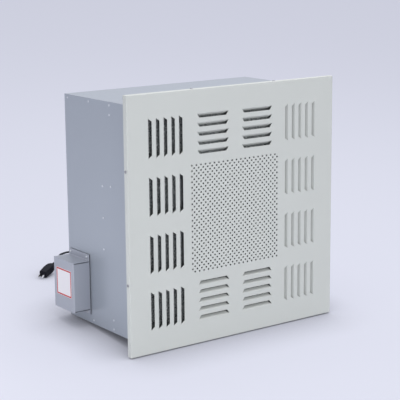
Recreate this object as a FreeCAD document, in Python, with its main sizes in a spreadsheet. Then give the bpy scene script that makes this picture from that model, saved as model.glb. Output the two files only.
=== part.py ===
import FreeCAD, Part
import Sketcher
import math
import os
import re
from FreeCAD import Placement, Rotation, Vector

# A fan filter box for a clean room: a sheet-steel casing that is let into a wall or ceiling, with a fan
# and a fine filter inside, and a pressed front panel. Room air goes in through the louvres round the
# panel, through coarse mats to the back of the casing, into the fan, and out through the fine filter
# and the perforated field in the panel's middle.
#
# Millimetres. X runs along the panel, Z up it and Y into the wall. The origin is the middle of the
# opening, on the back face of the mounting frame, which is the face that lies against the wall.

SIZES = (
    # front panel: one folded sheet that stands out all round the casing
    ("panel_overhang", 30),
    ("panel_sheet", 1.0),
    ("panel_standoff", 14),
    ("return_gap", 0.5),
    # louvres: flaps pressed inwards, folded along their outer edge
    ("louvre_length", 100),
    ("louvre_width", 11.5),
    ("louvre_short_by", 8),
    ("louvre_depth", 7.5),
    ("louvre_reach", 8.5),
    ("louvre_skin", 1.5),
    ("louvre_pitch", 23),
    ("louvres_in_group", 5),
    ("louvre_edge", 61.5),
    ("groups_upright", 4),
    ("group_pitch_upright", 146),
    ("groups_level", 2),
    ("group_pitch_level", 142),
    # outlet field
    ("outlet_span", 276),
    ("outlet_columns", 7),
    ("outlet_hole", 16.8),
    # panel screws
    ("panel_screw", 4),
    ("panel_screw_head", 7.6),
    ("panel_screw_head_height", 2.4),
    ("panel_screw_length", 6),
    ("panel_screw_spread_upright", 286),
    ("panel_screw_spread_level", 264),
    ("screw_clearance", 0.1),
    # casing
    ("casing_side", 600),
    ("casing_depth", 329),
    ("casing_sheet", 1.0),
    ("wall_fold", 20),
    ("back_fold", 25),
    ("sheet_gap", 0.2),
    # mounting frame
    ("frame_sheet", 1.5),
    ("frame_leg", 20),
    ("frame_lip_gap", 0.3),
    ("wall_screw_hole", 5.2),
    ("wall_screw_out", 13),
    # rivets and corner plates
    ("rivet_head", 6),
    ("rivet_height", 1.2),
    ("rivet_edge", 9),
    ("rivet_from_back", 119),
    ("gusset_y", 103),
    ("gusset_foot", 16),
    ("gusset_size", 46),
    ("gusset_sheet", 1.5),
    ("gusset_rivet_in", 24),
    # coarse mats and their tray
    ("tray_back", 15),
    ("tray_lip", 13),
    ("tray_sheet", 1.0),
    ("tray_inner", 316),
    ("tray_rim", 12),
    ("tray_bar", 10),
    ("mat_thick", 10),
    # fine filter
    ("filter_side", 305),
    ("filter_depth", 69),
    ("filter_front", -6),
    ("filter_wall", 2),
    ("filter_rim", 14.5),
    ("filter_rim_sheet", 1.5),
    ("pleat_pitch", 12),
    ("pleat_paper", 3),
    ("pleat_clearance", 0.5),
    ("seal_thick", 4),
    ("seal_width", 6),
    # filter clips
    ("clip_sheet", 1.5),
    ("clip_width", 30),
    ("clip_hook", 6),
    ("clip_foot", 16),
    ("clip_screw", 5),
    ("clip_screw_head", 8.5),
    ("clip_screw_head_height", 3.5),
    ("clip_screw_length", 9),
    # pressure box
    ("plenum_depth", 169),
    ("plenum_sheet", 1.0),
    ("plenum_rim_sheet", 1.5),
    ("plenum_rim_out", 20),
    ("plenum_rim_in", 12),
    # brackets between the pressure box and the casing
    ("bracket_sheet", 1.5),
    ("bracket_foot", 53),
    ("bracket_toe", 28),
    ("bracket_set_back", 78),
    ("bracket_height", 196),
    ("bracket_drop", 3),
    ("bracket_rivet_pitch", 83),
    ("bracket_rivet_back", 7),
    # inlet ring
    ("eye_radius", 64),
    ("ring_sheet", 1.2),
    ("ring_curve", 14),
    ("ring_flange", 30),
    ("ring_neck", 3),
    # fan wheel
    ("wheel_radius", 95),
    ("wheel_sheet", 1.2),
    ("wheel_set_back", 78),
    ("wheel_width_out", 57),
    ("shroud_rise", 10),
    ("eye_gap", 2.3),
    ("blades", 7),
    ("blade_sheet", 1.5),
    ("blade_radius", 62),
    ("blade_root", 56),
    ("blade_seat", 0.02),
    # motor
    ("can_radius", 46),
    ("can_wall", 3),
    ("can_length", 53),
    ("can_lead", 6),
    ("air_gap", 0.5),
    ("core_length", 36),
    ("stator_flange", 4),
    ("stator_flange_radius", 48),
    ("shaft_radius", 4),
    ("shaft_clearance", 0.04),
    ("shaft_stub", 2),
    ("bearing_radius", 11),
    ("bearing_width", 7),
    ("bearing_inset", 2),
    ("motor_plate", 2),
    ("motor_plate_width", 110),
    ("motor_plate_fold", 26),
    # control box on the left wall
    ("box_set_back", 107),
    ("box_wide", 102),
    ("box_low", -265),
    ("box_tall", 134),
    ("box_out", 51),
    ("box_sheet", 1.2),
    ("box_cover_over", 1.0),
    ("box_tab_top", 17),
    ("box_tab_low", 13),
    ("box_pad", 2),
    ("box_pad_inset", 1.5),
    ("tab_screw_head", 7),
    ("tab_screw_height", 2.2),
    ("tab_screw_in_top", 8.5),
    ("tab_screw_in_low", 6.5),
    ("tab_screw_side", 13),
    ("grommet_hole", 22),
    ("grommet_bore", 12),
    ("grommet_lip", 3),
    ("grommet_along", 63),
    ("grommet_up", 40),
    ("capacitor_radius", 14),
    ("capacitor_length", 60),
    # cable gland and cord
    ("gland_out", 12),
    ("gland_up", 65),
    ("gland_nut", 17),
    ("gland_nut_height", 6),
    ("gland_dome", 7.5),
    ("gland_dome_height", 8),
    ("relief_length", 22),
    ("relief_radius_out", 3.6),
    ("relief_radius_in", 5.5),
    ("cord_radius", 3),
    ("coil_x", -90),
    ("coil_y", 485),
    ("coil_radius", 36),
    ("coil_lift", 1.0),
    ("tie_width", 8),
    ("tie_thick", 0.8),
    ("tie_gap", 0.5),
    # plug
    ("plug_length", 56),
    ("plug_width", 26),
    ("plug_thick", 22),
    ("plug_nose_width", 21),
    ("plug_relief_length", 20),
    ("plug_relief_width", 12),
    ("plug_tail_lift", 24.4),
    ("pin_width", 6.3),
    ("pin_thick", 1.5),
    ("pin_length", 17),
    ("pin_spread", 12.7),
)

# Places that follow from the sizes, each written once and used by every piece that meets there.
DERIVED = {
    "panel_side": "casing_side + 2 * panel_overhang",
    "face_front": "0 - panel_standoff - panel_sheet",
    "louvre_fold_out": "panel_side / 2 - louvre_edge",
    "wall_out": "casing_side / 2",
    "wall_in": "casing_side / 2 - casing_sheet",
    "return_in": "panel_side / 2 - panel_sheet",
    "lip_out": "panel_side / 2 - panel_sheet - frame_lip_gap",
    "lip_in": "panel_side / 2 - panel_sheet - frame_lip_gap - frame_sheet",
    "leg_out": "casing_side / 2 + frame_sheet",
    "wall_screw_spread": "casing_side + 2 * wall_screw_out",
    "screw_y": "0 - panel_standoff / 2 - panel_sheet / 2",
    "tray_out": "casing_side / 2 - casing_sheet - sheet_gap",
    "tray_front": "tray_back - tray_lip",
    "mat_in": "tray_inner / 2 + tray_sheet + sheet_gap",
    "mat_out": "casing_side / 2 - casing_sheet - 2 * sheet_gap - tray_sheet",
    "filter_half": "filter_side / 2",
    "filter_back": "filter_front + filter_depth",
    "filter_open": "filter_side / 2 - filter_rim",
    "rim_front": "filter_front + filter_depth + seal_thick",
    "rim_back": "filter_front + filter_depth + seal_thick + plenum_rim_sheet",
    "plenum_half": "filter_side / 2",
    "plenum_in": "filter_side / 2 - plenum_sheet",
    "plenum_back": "filter_front + filter_depth + seal_thick + plenum_depth",
    "bracket_z": "0 - bracket_drop",
    "bracket_back": "plenum_back - bracket_set_back",
    "wheel_back": "plenum_back - wheel_set_back",
    "motor_face": "wheel_back - can_lead - stator_flange - shaft_stub",
    "ring_back": "filter_front + filter_depth + seal_thick + plenum_depth + ring_sheet",
    "box_front": "casing_depth - box_set_back",
    "box_back": "box_front + box_wide",
    "box_high": "box_low + box_tall",
    "box_plate": "0 - casing_side / 2 - box_pad",
    "box_face": "0 - casing_side / 2 - box_out",
    "grommet_y": "box_front + grommet_along",
    "grommet_z": "box_low + grommet_up",
    "gland_x": "box_plate - gland_out",
    "gland_z": "box_low + gland_up",
    "rest_y": "screw_y + panel_screw_head / 2",
    "rest_z": "panel_side / 2 + panel_screw_head_height",
}

os.makedirs("parts", exist_ok=True)
doc = FreeCAD.newDocument("FanFilterBox")
sheet = doc.addObject("Spreadsheet::Sheet", "Sizes")
for row, (alias, number) in enumerate(SIZES, start=1):
    sheet.set(f"A{row}", alias)
    sheet.set(f"B{row}", str(number))
    sheet.setAlias(f"B{row}", alias)
doc.recompute()

ALIASES = {alias for alias, _ in SIZES}
WORD = re.compile(r"[a-z][a-z_]*")
PIECES = []


def sized(text):
    """The expression with each size bound to its cell, and each derived place written out."""

    def swap(found):
        word = found.group()
        if word in ALIASES:
            return "Sizes." + word
        if word in DERIVED:
            return "(" + sized(DERIVED[word]) + ")"
        return word

    return WORD.sub(swap, text)


def value(text):
    """The expression's number, for shapes that are worked out here."""
    return float(sheet.evalExpression(sized(text)))


def plane(body, role):
    return next(item for item in body.Origin.OriginFeatures if item.Role == role)


def new_body(label):
    body = doc.addObject("PartDesign::Body", label)
    body.Label = label
    return body


def piece(item, label):
    """Marks the finished object of one node."""
    item.Label = label
    PIECES.append((item, label))
    return item


def sketch(body, name, role, offset="0"):
    """A sketch on one of the body's own planes, pushed along that plane's normal."""
    drawn = body.newObject("Sketcher::SketchObject", name)
    drawn.AttachmentSupport = (plane(body, role), [""])
    drawn.MapMode = "FlatFace"
    drawn.setExpression(".AttachmentOffset.Base.z", sized(offset))
    return drawn


def hold(drawn, geometry, point, across, up):
    """Ties a point to the sketch's origin by two sizes."""
    for kind, text in (("DistanceX", across), ("DistanceY", up)):
        number = drawn.addConstraint(Sketcher.Constraint(kind, -1, 1, geometry, point, value(text)))
        drawn.setExpression(f"Constraints[{number}]", sized(text))


def outline(drawn, points):
    """A closed outline through points given as pairs of expressions."""
    first = drawn.GeometryCount
    places = [Vector(value(a), value(b), 0) for a, b in points]
    count = len(points)
    for i in range(count):
        drawn.addGeometry(Part.LineSegment(places[i], places[(i + 1) % count]))
    for i in range(count):
        drawn.addConstraint(Sketcher.Constraint("Coincident", first + i, 2, first + (i + 1) % count, 1))
    for i, (across, up) in enumerate(points):
        hold(drawn, first + i, 1, across, up)


def rectangle(drawn, left, right, low, high):
    outline(drawn, [(left, low), (right, low), (right, high), (left, high)])


def square(drawn, half):
    rectangle(drawn, f"0 - {half}", half, f"0 - {half}", half)


def circle(drawn, across, up, radius):
    number = drawn.addGeometry(Part.Circle(Vector(value(across), value(up), 0), Vector(0, 0, 1), value(radius)))
    hold(drawn, number, 3, across, up)
    held = drawn.addConstraint(Sketcher.Constraint("Radius", number, value(radius)))
    drawn.setExpression(f"Constraints[{held}]", sized(radius))


def screw_opening(drawn, across, up, radius):
    """An eight-sided hole round a screw, its flats at the given radius."""
    turns = [22.5 + 45 * k for k in range(8)]
    tip = f"({radius}) / cos(22.5)"
    outline(drawn, [(f"{across} + {tip} * cos({t})", f"{up} + {tip} * sin({t})") for t in turns])


def extrude(body, drawn, length, kind="Pad", towards_normal=True):
    """A pad or pocket of the sketch. On the XZ plane the normal points to -Y, out of the wall."""
    made = body.newObject(f"PartDesign::{kind}", f"{drawn.Name}_{kind.lower()}")
    made.Profile = drawn
    made.setExpression("Length", sized(length))
    made.Reversed = (not towards_normal) if kind == "Pad" else towards_normal
    body.Tip = made
    return made


def block(name, left, right, front, back, low, high):
    """A box between six places."""
    made = doc.addObject("Part::Box", name)
    for side, start, end in (("Length", left, right), ("Width", front, back), ("Height", low, high)):
        made.setExpression(side, sized(f"({end}) - ({start})"))
    for axis, start in (("x", left), ("y", front), ("z", low)):
        made.setExpression(f".Placement.Base.{axis}", sized(start))
    return made


def cut(name, base, tool):
    made = doc.addObject("Part::Cut", name)
    made.Base = base
    made.Tool = tool
    return made


def fuse(name, shapes):
    made = doc.addObject("Part::MultiFuse", name)
    made.Shapes = shapes
    return made


def group(name, shapes):
    """Like pieces that stay separate solids in one node."""
    made = doc.addObject("Part::Compound", name)
    made.Links = shapes
    return made


def square_ring(name, outer, inner, front, back):
    """A square frame round the Y axis, between two half sides and two depths."""
    body_block = block(f"{name}_outer", f"0 - {outer}", outer, front, back, f"0 - {outer}", outer)
    opening = block(f"{name}_inner", f"0 - {inner}", inner, front, back, f"0 - {inner}", inner)
    return cut(name, body_block, opening)


def turned(name, profile):
    """A ring or disc about the Y axis from a closed profile of (radius, y) pairs."""
    body = new_body(name)
    drawn = sketch(body, f"{name}_profile", "XY_Plane")
    outline(drawn, profile)
    made = body.newObject("PartDesign::Revolution", f"{name}_turn")
    made.Profile = drawn
    made.ReferenceAxis = (plane(body, "Y_Axis"), [""])
    made.Angle = 360
    body.Tip = made
    return body


def placed_shape(name, shape):
    made = doc.addObject("Part::Feature", name)
    made.Shape = shape
    return made


def solid_of(corners, faces):
    """A closed solid from its corners and the corner numbers of its flat faces."""
    made = [Part.Face(Part.makePolygon([corners[i] for i in (*face, face[0])])) for face in faces]
    solid = Part.makeSolid(Part.makeShell(made))
    return solid if solid.Volume > 0 else solid.reversed()


def solid_through(rings, closed=False):
    """A flat-faced solid through rings with equally many points. The first and last ring are its ends,
    or a closed one joins them."""
    count = len(rings[0])
    corners = [point for ring in rings for point in ring]
    faces = []
    for row in range(len(rings) if closed else len(rings) - 1):
        start = row * count
        after = (row + 1) % len(rings) * count
        for k in range(count):
            ahead = (k + 1) % count
            faces.append((start + k, start + ahead, after + ahead, after + k))
    if not closed:
        faces += [tuple(range(count))[::-1], tuple(range(len(corners) - count, len(corners)))]
    return solid_of(corners, faces)


def round_ring(radius, sides, up=0):
    """Points round the Z axis at one height."""
    turns = [2 * math.pi * k / sides for k in range(sides)]
    return [Vector(radius * math.cos(turn), radius * math.sin(turn), up) for turn in turns]


# Front panel: one sheet of coated steel, folded back all round. Sixty louvres are pressed into it round
# the outlet, each folded along its long outer edge so that its free edge faces the middle, with its two
# ends drawn in to closed corners. The outlet is a field of holes in staggered rows at 45 degrees.
def louvre_wedge(skin):
    """The hollow under one louvre, or with a skin its outer face. The fold lies along X at z = 0, the
    louvre reaches down to -Z and the panel's front face is y = 0."""
    half = value("louvre_length") / 2
    short = half - value("louvre_short_by")
    width = value("louvre_width")
    depth = value("louvre_depth")
    reach = value("louvre_reach")
    lift = skin * reach / depth
    ends = skin * value("louvre_short_by") / depth
    inset = half - value("louvre_short_by") * 1.1
    corners = [
        Vector(-half - ends, 0, lift),
        Vector(half + ends, 0, lift),
        Vector(short + ends, 0, -width),
        Vector(-short - ends, 0, -width),
        Vector(-inset, depth + skin, -reach),
        Vector(inset, depth + skin, -reach),
    ]
    return solid_of(corners, [(0, 1, 2, 3), (1, 0, 4, 5), (0, 3, 4), (2, 1, 5), (3, 2, 5, 4)])


def louvre_places():
    """Turn about Y and place of each louvre's fold, group by group round the panel."""
    fold = value("louvre_fold_out")
    pitch = value("louvre_pitch")
    for side in range(4):
        upright = side % 2 == 1
        groups = int(value("groups_upright" if upright else "groups_level"))
        spread = value("group_pitch_upright" if upright else "group_pitch_level")
        for number in range(groups):
            along = (number - (groups - 1) / 2) * spread
            for step in range(int(value("louvres_in_group"))):
                turn = Rotation(Vector(0, 1, 0), 90 * side)
                yield turn, turn.multVec(Vector(along, 0, fold - step * pitch))


def outlet_holes():
    """Centres of the outlet's holes, full rows and half-pitch rows between them. Each hole stands for
    four of the real five-millimetre holes, so that the sheet keeps the same open share."""
    columns = int(value("outlet_columns"))
    pitch = value("outlet_span") / (columns - 1)
    for count in (columns, columns - 1):
        start = -pitch * (count - 1) / 2
        for i in range(count):
            for j in range(count):
                yield start + i * pitch, start + j * pitch


HOLE_TURNS = [math.radians(60 * k) for k in range(6)]


def front_panel_sheet():
    half = value("panel_side / 2")
    thick = value("panel_sheet")
    front = value("face_front")
    corner = value("outlet_hole / 2")
    sheet_face = Part.makePlane(2 * half, 2 * half, Vector(-half, front, half), Vector(0, -1, 0))
    wires = []
    for x, z in outlet_holes():
        ring = [Vector(x + corner * math.cos(a), front, z + corner * math.sin(a)) for a in HOLE_TURNS]
        wires.append(Part.makePolygon([*ring, ring[0]]))
    punched = Part.makeFace([sheet_face.OuterWire, *wires], "Part::FaceMakerBullseye")
    plate = punched.extrude(Vector(0, thick, 0))
    outer, inner = louvre_wedge(value("louvre_skin")), louvre_wedge(0)
    behind = Part.makeBox(2 * half, value("louvre_depth") * 2, 2 * half, Vector(-half, thick, -half))
    lip = outer.common(behind)
    lips, slots = [], []
    for turn, place in louvre_places():
        seat = Placement(place + Vector(0, front, 0), turn)
        lips.append(lip.transformed(seat.Matrix))
        slots.append(inner.transformed(seat.Matrix))
    return plate.fuse(lips).cut(Part.makeCompound(slots))


folds = square_ring("panel_folds", "panel_side / 2", "return_in", "face_front", "0 - return_gap")
pressed = placed_shape("panel_pressed", front_panel_sheet())
SCREW_SPREADS = ("panel_screw_spread_level", "panel_screw_spread_upright")
SCREW_SIDES = 8
HEAD_SIDES = 12
screw_hole = "(panel_screw / 2 + screw_clearance) / cos(180 / 8)"


def prism(name, radius, height, sides):
    """An upright prism whose corners lie at the given radius."""
    made = doc.addObject("Part::Prism", name)
    made.Polygon = sides
    made.setExpression("Circumradius", sized(radius))
    made.setExpression("Height", sized(height))
    return made


def at_screws(name, radius, depth, half_side, start, sides):
    """Prisms at the eight screw places: two to a side of the panel, square to that side."""
    made = []
    for side in range(4):
        spread = value(SCREW_SPREADS[side % 2])
        for sign in (-1, 1):
            pin = prism(f"{name}_{side}_{sign + 1}", radius, depth, sides)
            turn = Rotation(Vector(0, 1, 0), 90 * side)
            place = Vector(sign * spread / 2, value("screw_y"), value(f"{half_side} + {start}"))
            pin.Placement = Placement(turn.multVec(place), turn)
            made.append(pin)
    return made


panel_whole = fuse("panel_whole", [folds, pressed])
panel_drill = group(
    "panel_drill",
    at_screws("panel_hole", screw_hole, "3 * panel_sheet", "return_in", "0 - panel_sheet", SCREW_SIDES),
)
piece(cut("front_panel_drilled", panel_whole, panel_drill), "front_panel")

# Panel screws: pan-head screws through the panel's folded edge into the frame's lip, two to a side.
heads = at_screws(
    "screw_head", "panel_screw_head / 2", "panel_screw_head_height", "panel_side / 2", "0", HEAD_SIDES
)
shanks = at_screws(
    "screw_shank", "panel_screw / 2", "panel_screw_length", "panel_side / 2", "0 - panel_screw_length", SCREW_SIDES
)
screws = [fuse(f"panel_screw_{i}", [head, shank]) for i, (head, shank) in enumerate(zip(heads, shanks))]
piece(group("panel_screw_set", screws), "panel_screws")

# Mounting frame: a welded ring of folded sheet. Its flat lies on the wall, its outer lip carries the
# panel, and its inner leg is spot-welded round the casing. Four holes take the wall screws.
flat = square_ring("frame_flat", "lip_out", "wall_out", "0 - frame_sheet", "0")
lip = square_ring("frame_lip", "lip_out", "lip_in", "0 - panel_standoff", "0")
leg = square_ring("frame_leg_ring", "leg_out", "wall_out", "0 - frame_sheet", "frame_leg")
frame_whole = fuse("frame_whole", [flat, lip, leg])
lip_drill = at_screws("lip_hole", screw_hole, "3 * frame_sheet", "lip_in", "0 - frame_sheet", SCREW_SIDES)
wall_drill = []
for x_sign in (-1, 1):
    for z_sign in (-1, 1):
        hole = doc.addObject("Part::Cylinder", f"wall_hole_{x_sign + 1}_{z_sign + 1}")
        hole.setExpression("Radius", sized("wall_screw_hole / 2"))
        hole.setExpression("Height", sized("3 * frame_sheet"))
        hole.Placement = Placement(
            Vector(
                x_sign * value("wall_screw_spread / 2"),
                value("frame_sheet"),
                z_sign * value("wall_screw_spread / 2"),
            ),
            Rotation(Vector(1, 0, 0), 90),
        )
        wall_drill.append(hole)
piece(cut("frame_drilled", frame_whole, group("frame_drill", lip_drill + wall_drill)), "mounting_frame")

# Casing: five sheets of silver-grey coated steel. The two side walls are flat. The top and bottom have
# their long edges folded inwards, and the back is a shallow tray, all riveted to the side walls.
left_wall = new_body("casing_left")
drawn = sketch(left_wall, "left_wall_outline", "YZ_Plane", "0 - wall_out")
rectangle(drawn, "0", "casing_depth", "0 - wall_out", "wall_out")
extrude(left_wall, drawn, "casing_sheet")
drawn = sketch(left_wall, "left_wall_grommet", "YZ_Plane", "0 - wall_out")
circle(drawn, "grommet_y", "grommet_z", "grommet_hole / 2")
extrude(left_wall, drawn, "casing_sheet", "Pocket")
piece(left_wall, "casing_left")

right_wall = new_body("casing_right")
drawn = sketch(right_wall, "right_wall_outline", "YZ_Plane", "wall_in")
rectangle(drawn, "0", "casing_depth", "0 - wall_out", "wall_out")
extrude(right_wall, drawn, "casing_sheet")
piece(right_wall, "casing_right")

for label, sign in (("casing_top", ""), ("casing_bottom", "0 - ")):
    skin = new_body(label)
    drawn = sketch(skin, f"{label}_flat", "XZ_Plane")
    rectangle(drawn, "0 - wall_in", "wall_in", f"{sign}wall_out", f"{sign}(wall_in)")
    extrude(skin, drawn, "casing_depth", towards_normal=False)
    drawn = sketch(skin, f"{label}_folds", "XZ_Plane", "0 - tray_back")
    fold_in = "wall_in - casing_sheet"
    fold_end = f"{sign}(wall_in - wall_fold)"
    rectangle(drawn, f"0 - wall_in", f"0 - ({fold_in})", f"{sign}(wall_in)", fold_end)
    rectangle(drawn, fold_in, "wall_in", f"{sign}(wall_in)", fold_end)
    fold_run = "casing_depth - tray_back - back_fold - sheet_gap"
    extrude(skin, drawn, fold_run, towards_normal=False)
    piece(skin, label)

back_tray = new_body("casing_back")
drawn = sketch(back_tray, "back_outline", "XZ_Plane", "0 - casing_depth + back_fold")
square(drawn, "wall_in")
extrude(back_tray, drawn, "back_fold", towards_normal=False)
drawn = sketch(back_tray, "back_hollow", "XZ_Plane", "0 - casing_depth + back_fold")
square(drawn, "(wall_in - casing_sheet)")
extrude(back_tray, drawn, "back_fold - casing_sheet", "Pocket", towards_normal=False)
piece(back_tray, "casing_back")

# Corner plates: a foot riveted to the side wall and a web across the corner, one in each corner.
gussets = []
for x_sign in (-1, 1):
    for z_sign in (-1, 1):
        name = f"gusset_{x_sign + 1}_{z_sign + 1}"
        x_text = "" if x_sign > 0 else "0 - "
        z_text = "" if z_sign > 0 else "0 - "
        corner = "wall_in - casing_sheet"
        plate = new_body(name)
        drawn = sketch(plate, f"{name}_web", "XZ_Plane", "0 - gusset_y - gusset_foot")
        outline(
            drawn,
            [
                (f"{x_text}({corner})", f"{z_text}({corner})"),
                (f"{x_text}({corner} - gusset_size)", f"{z_text}({corner})"),
                (f"{x_text}({corner})", f"{z_text}({corner} - gusset_size)"),
            ],
        )
        extrude(plate, drawn, "gusset_sheet")
        drawn = sketch(plate, f"{name}_foot", "XZ_Plane", "0 - gusset_y - gusset_foot")
        rectangle(
            drawn,
            f"{x_text}({corner} - gusset_sheet)",
            f"{x_text}({corner})",
            f"{z_text}({corner} - gusset_size)",
            f"{z_text}({corner})",
        )
        extrude(plate, drawn, "gusset_foot")
        gussets.append(plate)
piece(group("gusset_set", gussets), "corner_gussets")

# Rivets: closed blind rivets whose domed heads show on the side walls: along the folded edges, at the
# corner plates and at the feet of the brackets that carry the pressure box.
RIVET_PLACES = [
    ("casing_depth - back_fold / 2 - 2", "wall_out - rivet_edge"),
    ("casing_depth - back_fold / 2 - 2", "0 - wall_out + rivet_edge"),
    ("casing_depth - rivet_from_back", "wall_out - rivet_edge"),
    ("casing_depth - rivet_from_back", "0 - wall_out + rivet_edge"),
    ("gusset_y + gusset_foot / 2", "wall_out - rivet_edge"),
    ("gusset_y + gusset_foot / 2", "0 - wall_out + rivet_edge"),
    ("gusset_y + gusset_foot / 2", "wall_out - rivet_edge - gusset_rivet_in"),
    ("gusset_y + gusset_foot / 2", "0 - wall_out + rivet_edge + gusset_rivet_in"),
    ("bracket_back - bracket_rivet_back", "bracket_z + bracket_rivet_pitch"),
    ("bracket_back - bracket_rivet_back", "bracket_z"),
    ("bracket_back - bracket_rivet_back", "bracket_z - bracket_rivet_pitch"),
    ("bracket_back - bracket_foot + bracket_rivet_back", "bracket_z + bracket_rivet_pitch + 4"),
]


def rivets():
    """Six-sided heads, drawn in at the top, on both side walls."""
    made = []
    radius = value("rivet_head / 2")
    head = solid_through([round_ring(radius, 6), round_ring(radius * 0.6, 6, value("rivet_height"))])
    for sign in (-1, 1):
        outward = Rotation(Vector(0, 1, 0), sign * 90)
        for y_text, z_text in RIVET_PLACES:
            place = Vector(sign * value("wall_out"), value(y_text), value(z_text))
            made.append(head.transformed(Placement(place, outward).Matrix))
    return Part.makeCompound(made)


piece(placed_shape("rivet_set", rivets()), "casing_rivets")

# Mat tray: a shallow folded ring behind the louvres, with windows that let the air through. It sits in
# the casing's mouth against the walls' folds and carries four coarse mats.
tray_flat = square_ring("tray_flat", "tray_out", "tray_inner / 2", "tray_back - tray_sheet", "tray_back")
tray_edge = square_ring("tray_edge", "tray_out", "(tray_out - tray_sheet)", "tray_front", "tray_back")
tray_neck = square_ring(
    "tray_neck", "(tray_inner / 2 + tray_sheet)", "tray_inner / 2", "tray_front", "tray_back"
)
tray_whole = fuse("tray_whole", [tray_flat, tray_edge, tray_neck])
window_in = "tray_inner / 2 + tray_rim"
window_out = "tray_out - tray_rim"
windows = []
for side, x_text in (("left", "0 - "), ("right", "")):
    for row in range(3):
        third = "(2 * (window_top) - 2 * tray_bar) / 3".replace("window_top", window_out)
        low = f"0 - ({window_out}) + {row} * ({third} + tray_bar)"
        first = f"{x_text}({window_out})" if x_text else window_in
        last = f"{x_text}({window_in})" if x_text else window_out
        name = f"window_{side}_{row}"
        windows.append(block(name, first, last, "tray_front", "tray_back", low, f"{low} + {third}"))
for side, z_text in (("low", "0 - "), ("high", "")):
    first = f"{z_text}({window_out})" if z_text else window_in
    last = f"{z_text}({window_in})" if z_text else window_out
    half = "tray_inner / 2 - tray_rim"
    for column, (start, end) in enumerate(((f"0 - ({half})", "0 - tray_bar / 2"), ("tray_bar / 2", half))):
        name = f"window_{side}_{column}"
        windows.append(block(name, start, end, "tray_front", "tray_back", first, last))
piece(cut("tray_cut", tray_whole, group("tray_windows", windows)), "mat_tray")

mat_front = "tray_back - tray_sheet - mat_thick"
mat_back = "tray_back - tray_sheet"
for label, x_sides, z_sides in (
    ("mat_left", ("0 - mat_out", "0 - mat_in"), ("0 - mat_out", "mat_out")),
    ("mat_right", ("mat_in", "mat_out"), ("0 - mat_out", "mat_out")),
    ("mat_top", ("0 - mat_in + sheet_gap", "mat_in - sheet_gap"), ("mat_in", "mat_out")),
    ("mat_bottom", ("0 - mat_in + sheet_gap", "mat_in - sheet_gap"), ("0 - mat_out", "0 - mat_in")),
):
    piece(block(f"{label}_block", *x_sides, mat_front, mat_back, *z_sides), label)

# Fine filter: an aluminium frame with rims turned in at both faces, and one pleated sheet inside it.
frame_block = square_ring("filter_block", "filter_half", "filter_open", "filter_front", "filter_back")
frame_room = square_ring(
    "filter_room",
    "(filter_half - filter_wall)",
    "filter_open",
    "filter_front + filter_rim_sheet",
    "filter_back - filter_rim_sheet",
)
piece(cut("filter_frame_cut", frame_block, frame_room), "filter_frame")


def pleats():
    """A zigzag sheet between the two rims, as wide and high as the frame's inside."""
    half = value("filter_half - filter_wall - pleat_clearance")
    front = value("filter_front + filter_rim_sheet + pleat_clearance")
    back = value("filter_back - filter_rim_sheet - pleat_clearance")
    paper = value("pleat_paper")
    folds_across = max(2, round(2 * half / value("pleat_pitch")))
    step = 2 * half / folds_across
    line, edge = [], []
    for i in range(folds_across + 1):
        x = -half + i * step
        far = i % 2
        line.append(Vector(x, back - paper if far else front, -half))
        edge.append(Vector(x, back if far else front + paper, -half))
    ring = line + edge[::-1]
    return Part.Face(Part.makePolygon([*ring, ring[0]])).extrude(Vector(0, 0, 2 * half))


piece(placed_shape("pleat_pack", pleats()), "filter_pleats")

# Two foam strips seal the filter: one on its front rim against the panel, one on its back rim against
# the pressure box.
piece(
    square_ring(
        "outlet_seal_ring",
        "(filter_open + seal_width)",
        "filter_open",
        "0 - panel_standoff",
        "filter_front",
    ),
    "outlet_seal",
)
piece(
    square_ring("filter_seal_ring", "filter_half", "(filter_half - filter_rim + 2)", "filter_back", "rim_front"),
    "filter_seal",
)

# Pressure box: an open-fronted box of sheet behind the filter, with a rim that the filter's seal and
# the clips sit on, and a round air inlet in its back.
plenum = new_body("plenum_box")
drawn = sketch(plenum, "plenum_outline", "XZ_Plane", "0 - rim_front")
square(drawn, "plenum_half")
extrude(plenum, drawn, "plenum_depth", towards_normal=False)
drawn = sketch(plenum, "plenum_hollow", "XZ_Plane", "0 - rim_back")
square(drawn, "plenum_in")
extrude(plenum, drawn, "plenum_depth - plenum_rim_sheet - plenum_sheet", "Pocket", towards_normal=False)
drawn = sketch(plenum, "plenum_rim", "XZ_Plane", "0 - rim_front")
square(drawn, "(plenum_half + plenum_rim_out)")
extrude(plenum, drawn, "plenum_rim_sheet", towards_normal=False)
drawn = sketch(plenum, "plenum_mouth", "XZ_Plane", "0 - rim_front")
square(drawn, "(plenum_half - plenum_rim_in)")
extrude(plenum, drawn, "plenum_rim_sheet", "Pocket", towards_normal=False)
drawn = sketch(plenum, "plenum_inlet", "XZ_Plane", "0 - plenum_back")
circle(drawn, "0", "0", "eye_radius + ring_curve + 1")
extrude(plenum, drawn, "plenum_sheet", "Pocket")
drawn = sketch(plenum, "plenum_screw_holes", "XZ_Plane", "0 - rim_front")
reach = "plenum_half + clip_sheet + clip_foot / 2"
for across, up in ((reach, "0"), (f"0 - ({reach})", "0"), ("0", reach), ("0", f"0 - ({reach})")):
    screw_opening(drawn, across, up, "clip_screw / 2 + screw_clearance")
extrude(plenum, drawn, "plenum_rim_sheet", "Pocket", towards_normal=False)
piece(plenum, "plenum_box")

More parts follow.
